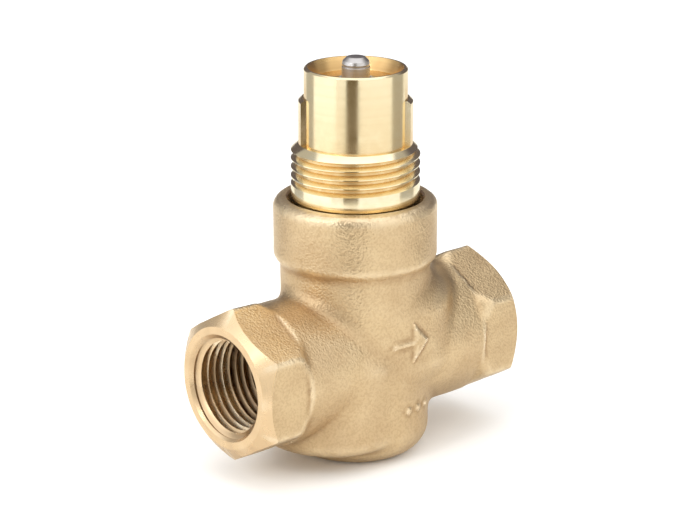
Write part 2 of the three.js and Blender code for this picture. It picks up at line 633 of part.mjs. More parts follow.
const ringHalf = STEM_ORING_SECTION / 2;
place(fixedPieces, 'valve_body', bodyCasting(), castBrass);
place(fixedPieces, 'seat_ring', seatRing(), brightSteel, WEB_TOP - SEAT_RING_SINK);
place(fixedPieces, 'bonnet', bonnet(), turnedBrass);
place(
  fixedPieces, 'bonnet_gasket',
  turn(ring(noseRadius + FIT_GAP, BONNET_THREAD_RADIUS, 0, GASKET_THICKNESS)),
  gasketFibre, GASKET_LEDGE + FIT_GAP,
);
place(
  fixedPieces, 'bonnet_oring',
  roundRing(BONNET_THREAD_RADIUS - BONNET_ORING_SECTION + FIT_GAP, BONNET_ORING_SECTION, FACETS),
  sealRubber, BONNET_ORING_HEIGHT,
);
place(fixedPieces, 'gland_nut', glandNut(), turnedBrass, glandBottom);
place(fixedPieces, 'wiper_ring', wiperRing(), guidePolymer, glandTop - WIPER_SECTION);
place(
  fixedPieces, 'upper_stem_oring',
  roundRing(boreRadius, STEM_ORING_SECTION, FINE_FACETS), sealRubber, upperRingTop - ringHalf,
);
place(
  fixedPieces, 'seal_spacer',
  turn(ring(boreRadius, packingRadius, 0, SEAL_SPACER_HEIGHT), FINE_FACETS),
  turnedBrass, spacerTop - SEAL_SPACER_HEIGHT,
);
place(
  fixedPieces, 'lower_stem_oring',
  roundRing(boreRadius, STEM_ORING_SECTION, FINE_FACETS), sealRubber, lowerRingTop - ringHalf,
);
place(
  fixedPieces, 'backup_washer',
  turn(ring(boreRadius, packingRadius, 0, BACKUP_WASHER_HEIGHT), FINE_FACETS),
  guidePolymer, washerTop - BACKUP_WASHER_HEIGHT,
);
place(fixedPieces, 'guide_bush', guideBush(), guidePolymer, bushBottom);
place(
  fixedPieces, 'spring_seat',
  turn(
    ring(STEM_RADIUS + 2 * FIT_GAP, SPRING_CHAMBER_RADIUS - FIT_GAP, 0, SEAT_WASHER_THICKNESS),
    FINE_FACETS,
  ),
  springSteel, springSeatBottom,
);
place(fixedPieces, 'return_spring', returnSpring(), springSteel, springBottom);
place(
  fixedPieces, 'seat_clip',
  openClip(
    SPRING_CHAMBER_RADIUS + SEAT_CLIP_GROOVE_DEPTH - FIT_GAP - SEAT_CLIP_WIDTH,
    SPRING_CHAMBER_RADIUS + SEAT_CLIP_GROOVE_DEPTH - FIT_GAP,
    SEAT_CLIP_THICKNESS, SEAT_CLIP_OPENING,
  ),
  springSteel, seatClipBottom,
);

place(stemAssembly, 'stem', stemRod(), brightSteel);
place(
  stemAssembly, 'stem_clip',
  openClip(
    STEM_RADIUS - STEM_CLIP_GROOVE_DEPTH + FIT_GAP, STEM_RADIUS + STEM_CLIP_WALL,
    STEM_CLIP_THICKNESS, STEM_CLIP_OPENING,
  ),
  springSteel, stemClipTop - STEM_CLIP_THICKNESS,
);
place(stemAssembly, 'spring_retainer', springRetainer(), springSteel, retainerTop - RETAINER_THICKNESS);
place(stemAssembly, 'plug', plug(), turnedBrass, plugBottom);
place(
  stemAssembly, 'seat_disc',
  turn(ring(STEM_END_RADIUS + FIT_GAP, discRadius, 0, DISC_THICKNESS), FINE_FACETS), sealRubber, discBottom,
);
place(
  stemAssembly, 'disc_washer',
  turn(ring(STEM_END_RADIUS + FIT_GAP, discWasherRadius, 0, DISC_WASHER_THICKNESS), FINE_FACETS),
  brightSteel, discWasherBottom,
);
place(stemAssembly, 'disc_nut', discNut(), brightSteel, discNutBottom);

export default valve;
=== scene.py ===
"""Looks of a straight-through zone valve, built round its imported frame.

Shapes are worked out in millimetres in the row frame, with Z = 0 at the flat base and the pipe
along X, and turned into metres when a mesh is made.
"""

import logging
import math
from collections.abc import Callable, Sequence
from dataclasses import dataclass
from enum import Enum

import bmesh
import bpy
import numpy as np
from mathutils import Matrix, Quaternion, Vector


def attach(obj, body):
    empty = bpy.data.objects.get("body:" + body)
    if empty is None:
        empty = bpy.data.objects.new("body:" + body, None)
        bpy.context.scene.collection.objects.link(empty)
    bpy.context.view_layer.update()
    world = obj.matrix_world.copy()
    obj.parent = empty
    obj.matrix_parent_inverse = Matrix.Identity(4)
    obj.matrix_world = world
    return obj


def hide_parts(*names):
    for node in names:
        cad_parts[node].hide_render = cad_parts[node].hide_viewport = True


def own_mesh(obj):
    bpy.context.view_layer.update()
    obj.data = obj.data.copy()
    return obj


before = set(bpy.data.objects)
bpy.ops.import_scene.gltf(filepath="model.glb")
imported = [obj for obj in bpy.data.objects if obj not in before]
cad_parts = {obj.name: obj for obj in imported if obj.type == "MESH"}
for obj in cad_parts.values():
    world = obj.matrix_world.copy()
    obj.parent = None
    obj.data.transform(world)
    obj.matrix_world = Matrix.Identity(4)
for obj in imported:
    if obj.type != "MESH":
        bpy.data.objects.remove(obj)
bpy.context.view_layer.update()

LOG = logging.getLogger("zone_valve")
MM = 0.001
SMOOTH_ANGLE = math.radians(31.0)

Outline = list[tuple[float, float]]
Corner = tuple[float, float, float]


class Slot(Enum):
    """The record's material slots."""

    CAST_BRASS = "cast_brass"
    TURNED_BRASS = "turned_brass"
    BRIGHT_STEEL = "bright_steel"
    SPRING_STEEL = "spring_steel"
    SEAL_RUBBER = "seal_rubber"
    GUIDE_POLYMER = "guide_polymer"
    GASKET_FIBRE = "gasket_fibre"


class Body(Enum):
    """The two rigid bodies of the valve."""

    HOUSING = "housing"
    STEM = "stem_assembly"


class Axis(Enum):
    """Axis that a turned shape is turned about."""

    Z = "z"
    X = "x"


# ---- Shapes ---------------------------------------------------------------------------------


@dataclass
class Shape:
    """Corners in millimetres and the faces of a closed surface."""

    corners: np.ndarray
    faces: list[tuple[int, ...]]

    def moved(self, x: float = 0.0, y: float = 0.0, z: float = 0.0) -> "Shape":
        """Returns the shape shifted by a distance."""
        return Shape(self.corners + np.array([x, y, z]), self.faces)

    def turned(self, degrees: float) -> "Shape":
        """Returns the shape turned about Z."""
        c, s = math.cos(math.radians(degrees)), math.sin(math.radians(degrees))
        spin = np.array([[c, -s, 0.0], [s, c, 0.0], [0.0, 0.0, 1.0]])
        return Shape(self.corners @ spin.T, self.faces)

    def laid_along_x(self) -> "Shape":
        """Returns the shape with its Z axis laid along X."""
        return Shape(self.corners[:, [2, 0, 1]], self.faces)


def rounded(corners: Sequence[Corner], steps: int = 4) -> Outline:
    """Breaks the corners of a closed outline with small arcs.

    Args:
        corners: Radius, height and edge radius of each corner, the outer wall running up.
        steps: Straight pieces in each arc.

    Returns:
        The outline's points in the same order.
    """
    outline: Outline = []
    count = len(corners)
    for i, (radius, height, edge) in enumerate(corners):
        here = np.array([radius, height])
        if edge <= 0.0:
            outline.append((radius, height))
            continue
        to_last = np.array(corners[i - 1][:2]) - here
        to_next = np.array(corners[(i + 1) % count][:2]) - here
        reach_last, reach_next = np.linalg.norm(to_last), np.linalg.norm(to_next)
        turn = math.pi - math.acos(
            float(np.clip(to_last @ to_next / (reach_last * reach_next), -1.0, 1.0))
        )
        cut = min(edge * math.tan(turn / 2.0), 0.48 * reach_last, 0.48 * reach_next)
        first = here + to_last / reach_last * cut
        last = here + to_next / reach_next * cut
        for t in np.linspace(0.0, 1.0, steps + 1):
            point = (1 - t) ** 2 * first + 2 * t * (1 - t) * here + t**2 * last
            outline.append((float(point[0]), float(point[1])))
    return outline


def turned_shape(outline: Outline, facets: int = 128, axis: Axis = Axis.Z) -> Shape:
    """Turns a closed outline about an axis.

    Args:
        outline: Points of radius and height, anticlockwise; points on the axis become poles.
        facets: Steps round the axis.
        axis: Axis to turn about.

    Returns:
        The closed surface.
    """
    angles = np.arange(facets) * 2.0 * math.pi / facets
    corners: list[tuple[float, float, float]] = []
    rings: list[list[int]] = []
    for radius, height in outline:
        start = len(corners)
        if radius < 1e-6:
            corners.append((0.0, 0.0, height))
            rings.append([start] * facets)
            continue
        corners.extend((radius * math.cos(a), radius * math.sin(a), height) for a in angles)
        rings.append(list(range(start, start + facets)))
    faces: list[tuple[int, ...]] = []
    for low, high in zip(rings, rings[1:] + rings[:1]):
        if low[0] == low[1] and high[0] == high[1]:
            continue
        for j in range(facets):
            k = (j + 1) % facets
            ring = (low[j], low[k], high[k], high[j])
            faces.append(tuple(dict.fromkeys(ring)))
    shape = Shape(np.array(corners), faces)
    return shape.laid_along_x() if axis is Axis.X else shape


@dataclass(frozen=True)
class Thread:
    """A pipe thread, cut as a helical groove.

    Attributes:
        surface: Radius of the plain surface that is cut.
        tip: Radius of the groove's bottom.
        pitch: Distance between turns.
        start: Where the first full turn begins.
        length: Length of the thread, run-outs included.
    """

    surface: float
    tip: float
    pitch: float
    start: float
    length: float
    flank: float = math.radians(27.5)
    tip_flat: float = 0.42
    clearance: float = 0.1
    fade_turns: float = 0.55
    steps: int = 96

    def cutter(self) -> Shape:
        """Builds the solid that leaves the groove when it is cut away.

        Returns:
            A helical ridge along Z, tapered out at both ends.
        """
        outward = math.copysign(1.0, self.tip - self.surface)
        base = self.surface - outward * self.clearance
        depth = abs(self.tip - self.surface)
        turns = self.length / self.pitch
        count = int(turns * self.steps)
        corners: list[tuple[float, float, float]] = []
        faces: list[tuple[int, ...]] = []
        for i in range(count + 1):
            done = turns * i / count
            fade = min(1.0, done / self.fade_turns, (turns - done) / self.fade_turns)
            reach = -0.5 * self.clearance + (depth + 0.5 * self.clearance) * fade
            tip = self.surface + outward * reach
            half = self.tip_flat / 2.0 + abs(tip - base) * math.tan(self.flank)
            height = self.start + done * self.pitch
            angle = done * 2.0 * math.pi
            section = (
                (base, height - half),
                (tip, height - self.tip_flat / 2.0),
                (tip, height + self.tip_flat / 2.0),
                (base, height + half),
            )
            corners.extend((r * math.cos(angle), r * math.sin(angle), z) for r, z in section)
            if i:
                a, b = 4 * (i - 1), 4 * i
                faces.extend((a + k, a + (k + 1) % 4, b + (k + 1) % 4, b + k) for k in range(4))
        last = 4 * count
        faces.append((3, 2, 1, 0))
        faces.append((last, last + 1, last + 2, last + 3))
        return Shape(np.array(corners), faces)


def block(low: Sequence[float], high: Sequence[float]) -> Shape:
    """Returns a block between two corners, to cut or trim with."""
    x0, y0, z0 = low
    x1, y1, z1 = high
    corners = [(x, y, z) for z in (z0, z1) for y in (y0, y1) for x in (x0, x1)]
    faces = [(0, 2, 3, 1), (4, 5, 7, 6), (0, 1, 5, 4), (2, 6, 7, 3), (0, 4, 6, 2), (1, 3, 7, 5)]
    return Shape(np.array(corners, float), faces)


def hexagon_prism(flats: float, low: float, high: float) -> Shape:
    """Returns a hexagon bar between two heights, with a corner on the X axis."""
    radius = flats / math.sqrt(3.0)
    ring = [
        (radius * math.cos(k * math.pi / 3), radius * math.sin(k * math.pi / 3)) for k in range(6)
    ]
    corners = [(x, y, z) for z in (low, high) for x, y in ring]
    sides = [(k, (k + 1) % 6, 6 + (k + 1) % 6, 6 + k) for k in range(6)]
    return Shape(np.array(corners), [tuple(range(5, -1, -1)), tuple(range(6, 12)), *sides])


# ---- Meshes ---------------------------------------------------------------------------------


def make_object(name: str, shape: Shape, orient: bool = True) -> bpy.types.Object:
    """Makes a Blender object from a shape.

    Args:
        name: Name of the object.
        shape: The closed surface, in millimetres.
        orient: Whether to turn the faces outwards, which a shape with closed hollows can't have.

    Returns:
        The object, with its place in its mesh.
    """
    mesh = bpy.data.meshes.new(name)
    mesh.from_pydata((shape.corners * MM).tolist(), [], shape.faces)
    work = bmesh.new()
    work.from_mesh(mesh)
    bmesh.ops.remove_doubles(work, verts=work.verts, dist=1e-8)
    if orient:
        bmesh.ops.recalc_face_normals(work, faces=work.faces)
    work.to_mesh(mesh)
    work.free()
    made = bpy.data.objects.new(name, mesh)
    bpy.context.scene.collection.objects.link(made)
    return made


def combine(blank: bpy.types.Object, tools: Sequence[bpy.types.Object], operation: str) -> None:
    """Cuts, joins or trims a blank with other objects, which are used up.

    Args:
        blank: Object whose mesh is changed.
        tools: Closed objects to combine it with, in order.
        operation: DIFFERENCE, UNION or INTERSECT.
    """
    for tool in tools:
        modifier = blank.modifiers.new("combine", "BOOLEAN")
        modifier.operation = operation
        modifier.solver = "MANIFOLD"
        modifier.object = tool
        graph = bpy.context.evaluated_depsgraph_get()
        result = bpy.data.meshes.new_from_object(blank.evaluated_get(graph))
        blank.modifiers.clear()
        old = blank.data
        blank.data = result
        result.name = blank.name
        bpy.data.meshes.remove(old)
        used = tool.data
        bpy.data.objects.remove(tool)
        bpy.data.meshes.remove(used)


def finish_mesh(piece: bpy.types.Object, angle: float = SMOOTH_ANGLE) -> None:
    """Shades a mesh smooth, with edges sharper than an angle kept crisp."""
    piece.data.shade_smooth()
    piece.data.set_sharp_from_angle(angle=angle)


def surface_net(
    field: Callable[[np.ndarray], np.ndarray], low: np.ndarray, high: np.ndarray, step: float
) -> Shape:
    """Meshes the zero surface of a distance field.

    Args:
        field: Signed distance of points, negative inside.
        low: Lowest corner of the region.
        high: Highest corner of the region.
        step: Size of a cell.

    Returns:
        The closed surface, with its corners moved onto the field's zero.
    """
    axes = [np.arange(low[i], high[i] + step, step) for i in range(3)]
    shape = tuple(len(a) for a in axes)
    value = np.empty(shape)
    for i, x in enumerate(axes[0]):
        y, z = np.meshgrid(axes[1], axes[2], indexing="ij")
        points = np.stack([np.full_like(y, x), y, z], -1).reshape(-1, 3)
        value[i] = field(points).reshape(y.shape)
    cells = tuple(n - 1 for n in shape)
    total = np.zeros(cells + (3,))
    hits = np.zeros(cells)
    offsets = [(i, j, k) for i in (0, 1) for j in (0, 1) for k in (0, 1)]
    for first in offsets:
        for along in range(3):
            if first[along]:
                continue
            second = tuple(first[n] + (n == along) for n in range(3))
            a = value[tuple(slice(o, o + c) for o, c in zip(first, cells))]
            b = value[tuple(slice(o, o + c) for o, c in zip(second, cells))]
            crossed = (a < 0.0) != (b < 0.0)
            share = np.where(crossed, a / np.where(crossed, a - b, 1.0), 0.0)
            for n in range(3):
                total[..., n] += np.where(crossed, first[n] + share * (n == along), 0.0)
            hits += crossed
    mixed = hits > 0
    number = -np.ones(cells, int)
    number[mixed] = np.arange(int(mixed.sum()))
    places = np.argwhere(mixed) + total[mixed] / hits[mixed][:, None]
    corners = places * step + np.asarray(low, float)
    faces: list[np.ndarray] = []
    inside = value < 0.0
    for along in range(3):
        other = [n for n in range(3) if n != along]
        lower = tuple(slice(0, s - 1) if n == along else slice(None) for n, s in enumerate(shape))
        upper = tuple(slice(1, s) if n == along else slice(None) for n, s in enumerate(shape))
        edges = np.argwhere(inside[lower] != inside[upper])
        keep = np.all((edges[:, other] > 0) & (edges[:, other] < np.array(shape)[other] - 1), 1)
        edges = edges[keep]
        ring = []
        for du, dv in ((-1, -1), (0, -1), (0, 0), (-1, 0)):
            cell = edges.copy()
            cell[:, other[0]] += du
            cell[:, other[1]] += dv
            ring.append(number[cell[:, 0], cell[:, 1], cell[:, 2]])
        quads = np.stack(ring, 1)
        flip = inside[edges[:, 0], edges[:, 1], edges[:, 2]] == (along == 1)
        quads[flip] = quads[flip][:, ::-1]
        faces.append(quads)
    for _ in range(3):
        corners = settle(field, corners, step)
    return Shape(corners, [tuple(map(int, quad)) for quad in np.concatenate(faces)])


def slope(
    field: Callable[[np.ndarray], np.ndarray], points: np.ndarray, reach: float
) -> np.ndarray:
    """Returns a field's gradient at points, from samples a short reach away."""
    steps = np.eye(3) * reach
    return np.stack([(field(points + s) - field(points - s)) / (2.0 * reach) for s in steps], 1)


def settle(
    field: Callable[[np.ndarray], np.ndarray], points: np.ndarray, step: float
) -> np.ndarray:
    """Moves points onto a field's zero surface, by at most a third of a cell."""
    gradient = slope(field, points, 0.02)
    size = np.maximum((gradient**2).sum(1), 1e-3)
    shift = -(field(points) / size)[:, None] * gradient
    length = np.linalg.norm(shift, axis=1, keepdims=True)
    return points + shift * np.minimum(1.0, step / 3.0 / np.maximum(length, 1e-9))


# ---- Distance fields ------------------------------------------------------------------------


def blend_join(a: np.ndarray, b: np.ndarray, fillet: float | np.ndarray) -> np.ndarray:
    """Joins two fields with a fillet between them."""
    near = np.maximum(fillet - np.abs(a - b), 0.0) / fillet
    return np.minimum(a, b) - near * near * fillet * 0.25


def blend_meet(a: np.ndarray, b: np.ndarray, edge: float) -> np.ndarray:
    """Keeps what lies in both fields, with the edge between them rounded."""
    return -blend_join(-a, -b, edge)


def round_drum(
    radial: np.ndarray, height: np.ndarray, radius: float, ends: tuple[float, float],
    edges: tuple[float, float],
) -> np.ndarray:
    """Field of a drum with rounded edges.

    Args:
        radial: Distance of each point from the drum's axis.
        height: Distance of each point along it.
        radius: Radius of the drum.
        ends: Its two ends.
        edges: Edge radius at each end.

    Returns:
        Signed distance of each point.
    """
    middle, half = (ends[0] + ends[1]) / 2.0, (ends[1] - ends[0]) / 2.0
    edge = np.where(height < middle, edges[0], edges[1])
    out = radial - (radius - edge)
    past = np.abs(height - middle) - (half - edge)
    corner = np.hypot(np.maximum(out, 0.0), np.maximum(past, 0.0))
    return corner + np.minimum(np.maximum(out, past), 0.0) - edge


@dataclass
class Casting:
    """The cast body: its outside and its two chambers, as one distance field."""

    pipe_height: float = 21.0
    face: float = 35.0
    flats: float = 28.0
    hexagon_rear: float = 23.7
    rear_chamfer: tuple[float, float] = (2.3, 1.67)
    neck_radius: float = 14.5
    barrel_radius: float = 15.4
    wall: float = 3.2
    bulge_offset: float = 6.2
    bulge_span: tuple[float, float] = (-6.0, 16.5)
    collar_radius: float = 16.78
    collar_span: tuple[float, float] = (20.4, 33.4)
    collar_edge: float = 1.9
    web: tuple[float, float] = (-4.0, 5.2)
    web_thickness: float = 2.4
    ledge: float = 24.0
    floor: float = 4.0
    tower_radius: float = 9.7
    passage_radius: float = 9.0
    cell: float = 0.5

    def hexagon_ends(self, p: np.ndarray) -> np.ndarray:
        """Returns the field of both hexagon ends."""
        across = [np.abs(p[:, 1] * c + p[:, 2] * s) for c, s in self.flat_directions()]
        prism = across[0]
        for flat in across[1:]:
            prism = blend_meet(prism, flat, 0.55)
        along = np.abs(p[:, 0])
        rise, run = self.rear_chamfer[0], self.rear_chamfer[1]
        radial = np.hypot(p[:, 1], p[:, 2])
        cone = rise * (radial - self.neck_radius) - run * (along - self.hexagon_rear)
        cone = cone / math.hypot(rise, run)
        ends = blend_meet(prism - self.flats / 2.0, cone, 0.7)
        return np.maximum(ends, along - self.face - 0.6)

    @staticmethod
    def flat_directions() -> list[tuple[float, float]]:
        """Returns the directions of the three pairs of flats."""
        return [(math.cos(k * math.pi / 3), math.sin(k * math.pi / 3)) for k in range(3)]

    def bulge(self, p: np.ndarray, side: float) -> np.ndarray:
        """Returns the field of the swelling over one passage; side is 1 above, -1 below."""
        radial = np.hypot(p[:, 0] - side * self.bulge_offset, p[:, 1])
        edges = (6.0, 6.5) if side > 0 else (2.6, 6.0)
        near, far = self.bulge_span
        height = p[:, 2] * side
        if side > 0:
            return round_drum(radial, height, self.barrel_radius, (near, far), edges)
        return round_drum(radial, -height, self.barrel_radius, (-far - 0.6, -near), edges)

    def outside(self, p: np.ndarray) -> np.ndarray:
        """Returns the field of the casting without its hollows."""
        radial = np.hypot(p[:, 0], p[:, 1])
        barrel = round_drum(
            radial, p[:, 2], self.barrel_radius, (-self.pipe_height, 24.0), (6.0, 1.0)
        )
        collar = round_drum(
            radial, p[:, 2], self.collar_radius, self.collar_span, (1.6, self.collar_edge)
        )
        along = np.abs(p[:, 0])
        neck = np.maximum(
            np.hypot(p[:, 1], p[:, 2]) - self.neck_radius, along - self.hexagon_rear - 0.4
        )
        pipe = blend_join(neck, self.hexagon_ends(p), 0.5)
        upper = blend_join(barrel, self.bulge(p, 1.0), 1.6)
        square = np.clip(np.abs(p[:, 2]) / self.neck_radius, 0.0, 1.0) ** 2
        whole = blend_join(upper, self.bulge(p, -1.0), 0.8)
        whole = blend_join(whole, pipe, 0.75 + 2.0 * square)
        whole = blend_join(whole, collar, 1.6)
        return whole + self.ripple(p) - 0.46 * self.marks(p)

    @staticmethod
    def ripple(p: np.ndarray) -> np.ndarray:
        """Returns the slight unevenness of a cast skin."""
        waves = np.random.default_rng(7).normal(size=(9, 3))
        waves *= (2.0 * math.pi / np.linspace(4.5, 10.0, 9) / np.linalg.norm(waves, axis=1))[
            :, None
        ]
        phases = np.linspace(0.0, 5.0, 9)
        return 0.012 * np.sin(p @ waves.T + phases).sum(1)

    def marks(self, p: np.ndarray) -> np.ndarray:
        """Returns how much each point is raised by the cast flow arrow and foundry pips."""
        x, z, front = p[:, 0] - 1.2, p[:, 2] - 5.0, p[:, 1] < 0.0
        shaft = np.maximum(np.abs(x + 1.1) - 3.1, np.abs(z) - 0.55)
        head = np.maximum(1.2 - x, 0.72 * (x - 5.0) + 0.69 * np.abs(z))
        arrow = np.minimum(shaft, head)
        pips = np.min(
            [np.hypot(p[:, 0] - 1.2 - 3.0 * k, p[:, 2] + 9.6) - 0.75 for k in range(3)], 0
        )
        shape = np.minimum(arrow, pips)
        return front * np.clip(0.5 - shape / 0.55, 0.0, 1.0)

    def chamber(self, p: np.ndarray, side: float) -> np.ndarray:
        """Returns the field of one chamber with its passage; side is 1 above the web, -1 below."""
        radial = np.hypot(p[:, 0], p[:, 1])
        reach = self.barrel_radius - self.wall
        height = p[:, 2] * side
        far = self.bulge_span[1] - 4.5
        web_face = self.web[1] if side > 0 else -self.web[0]
        other_face = -self.web[0] if side > 0 else self.web[1]
        top = self.ledge + 2.0 if side > 0 else self.pipe_height - self.floor
        drum = round_drum(radial, height, reach, (web_face, top), (1.0, 1.0 if side > 0 else 3.0))
        pocket_floor = self.web_thickness - other_face
        shifted = np.hypot(p[:, 0] - side * self.bulge_offset, p[:, 1])
        pocket = round_drum(shifted, height, reach, (pocket_floor, far), (1.5, 3.0))
        along = p[:, 0] * side
        bore = np.hypot(p[:, 1], p[:, 2]) - self.passage_radius
        bore = np.max(
            [bore, self.tower_radius - along, along - self.face + 12.0, pocket_floor - height], 0
        )
        pocket = np.maximum(pocket, self.web_thickness / 2.0 - along)
        tower = np.where(height > web_face, -1.0, self.tower_radius - radial)
        side_way = blend_meet(blend_join(pocket, bore, 1.2), tower, 1.2)
        return blend_join(drum, side_way, 1.2)

    def field(self, points: np.ndarray) -> np.ndarray:
        """Returns the signed distance of points in the row frame."""
        p = points - np.array([0.0, 0.0, self.pipe_height])
        hollow = blend_join(self.chamber(p, 1.0), self.chamber(p, -1.0), 0.01)
        return blend_meet(self.outside(p), -hollow, 0.6)

    def shape(self) -> Shape:
        """Meshes the casting before it is machined."""
        low = np.array([-self.face - 1.2, -18.0, -1.0])
        high = np.array([self.face + 1.2, 18.0, self.pipe_height + self.collar_span[1] + 1.0])
        return surface_net(self.field, low, high, self.cell)


# ---- Edges and creases ----------------------------------------------------------------------


def write_mask(piece: bpy.types.Object, name: str, values: np.ndarray) -> None:
    """Stores a number from 0 to 1 at each corner of a mesh, for its finish to read."""
    layer = piece.data.attributes.new(name, "FLOAT", "POINT")
    layer.data.foreach_set("value", np.clip(values, 0.0, 1.0).astype(np.float32))


def mark_folds(piece: bpy.types.Object, full: float = 0.5) -> None:
    """Marks the outer edges and inner creases of a piece from the angles of its mesh.

    Args:
        piece: Object whose mesh is marked.
        full: Fold, in radians, that counts as a complete edge or crease.
    """
    work = bmesh.new()
    work.from_mesh(piece.data)
    outer = np.zeros(len(work.verts))
    inner = np.zeros(len(work.verts))
    for edge in work.edges:
        if len(edge.link_faces) != 2:
            continue
        fold = edge.calc_face_angle_signed(0.0)
        for vert in edge.verts:
            outer[vert.index] = max(outer[vert.index], fold)
            inner[vert.index] = max(inner[vert.index], -fold)
    work.free()
    write_mask(piece, "edge", outer / full)
    # The crease mask darkens concave folds with grime and painted shade.
    write_mask(piece, "crease", inner / full)


def mark_bends(
    piece: bpy.types.Object, field: Callable[[np.ndarray], np.ndarray], reach: float = 0.9
) -> None:
    """Marks the rounded edges and fillets of a cast piece from the bend of its field.

    Args:
        piece: Object whose mesh is marked.
        field: Signed distance of points in millimetres.
        reach: Distance over which the bend is measured.
    """
    flat = np.empty(len(piece.data.vertices) * 3)
    piece.data.vertices.foreach_get("co", flat)
    points = flat.reshape(-1, 3) / MM
    steps = np.concatenate([np.eye(3), -np.eye(3)]) * reach
    bend = sum(field(points + step) for step in steps) / len(steps) - field(points)
    write_mask(piece, "edge", bend / 0.085)
    # The crease mask darkens concave bends with grime and painted shade.
    write_mask(piece, "crease", -bend / 0.085)


# ---- Node trees -----------------------------------------------------------------------------


class Tree:
    """Places and links the nodes of one tree."""

    def __init__(self, tree: bpy.types.NodeTree) -> None:
        """Takes the tree to work on."""
        self.tree = tree

    def node(self, kind: str, **settings: object) -> bpy.types.Node:
        """Returns a new node with its settings applied."""
        made = self.tree.nodes.new(kind)
        for name, value in settings.items():
            setattr(made, name, value)
        return made

    def feed(self, source: bpy.types.NodeSocket | float, target: bpy.types.NodeSocket) -> None:
        """Links an output to an input, or sets the input to a plain value."""
        if isinstance(source, bpy.types.NodeSocket):
            self.tree.links.new(source, target)
        else:
            target.default_value = source

    def math(
        self, operation: str, a: bpy.types.NodeSocket | float,
        b: bpy.types.NodeSocket | float = 0.0, clamp: bool = False,
    ) -> bpy.types.NodeSocket:
        """Returns the result of a sum on two values."""
        made = self.node("ShaderNodeMath", operation=operation, use_clamp=clamp)
        self.feed(a, made.inputs[0])
        self.feed(b, made.inputs[1])
        return made.outputs[0]

    def ramp(
        self, value: bpy.types.NodeSocket, low: float, high: float,
        start: float = 0.0, end: float = 1.0,
    ) -> bpy.types.NodeSocket:
        """Returns a value stretched smoothly from one range to another."""
        made = self.node("ShaderNodeMapRange", interpolation_type="SMOOTHSTEP")
        self.feed(value, made.inputs["Value"])
        for name, number in (
            ("From Min", low), ("From Max", high), ("To Min", start), ("To Max", end)
        ):
            made.inputs[name].default_value = number
        return made.outputs["Result"]

    def blend(
        self, share: bpy.types.NodeSocket, a: bpy.types.NodeSocket | tuple[float, ...],
        b: bpy.types.NodeSocket | tuple[float, ...],
    ) -> bpy.types.NodeSocket:
        """Returns a colour between two colours."""
        made = self.node("ShaderNodeMix", data_type="RGBA")
        self.feed(share, made.inputs[0])
        self.feed(a, made.inputs[6])
        self.feed(b, made.inputs[7])
        return made.outputs[2]

    def noise(
        self, place: bpy.types.NodeSocket, scale: bpy.types.NodeSocket | float, detail: float = 2.0
    ) -> bpy.types.NodeSocket:
        """Returns cloudy noise over a place."""
        made = self.node("ShaderNodeTexNoise")
        self.feed(place, made.inputs["Vector"])
        self.feed(scale, made.inputs["Scale"])
        made.inputs["Detail"].default_value = detail
        return made.outputs["Fac"]

    def place(self) -> bpy.types.NodeSocket:
        """Returns the place on the piece, in metres, which moves with the piece."""
        return self.node("ShaderNodeTexCoord").outputs["Object"]

    def mask(self, name: str) -> bpy.types.NodeSocket:
        """Returns a mask stored on the mesh."""
        return self.node("ShaderNodeAttribute", attribute_name=name).outputs["Fac"]


def new_group(name: str, inputs: dict[str, float], outputs: Sequence[str]) -> tuple[Tree, dict]:
    """Starts a shared node group of plain values.

    Args:
        name: Name of the group.
        inputs: Name and usual value of each input.
        outputs: Name of each output.

    Returns:
        The group's tree, and its inputs and outputs by name.
    """
    group = bpy.data.node_groups.new(name, "ShaderNodeTree")
    for label, usual in inputs.items():
        socket = group.interface.new_socket(label, in_out="INPUT", socket_type="NodeSocketFloat")
        socket.default_value = usual
    for label in outputs:
        group.interface.new_socket(label, in_out="OUTPUT", socket_type="NodeSocketFloat")
    tree = Tree(group)
    ends = {label: tree.node("NodeGroupInput").outputs[label] for label in inputs}
    last = tree.node("NodeGroupOutput")
    ends.update({label: last.inputs[label] for label in outputs})
    return tree, ends


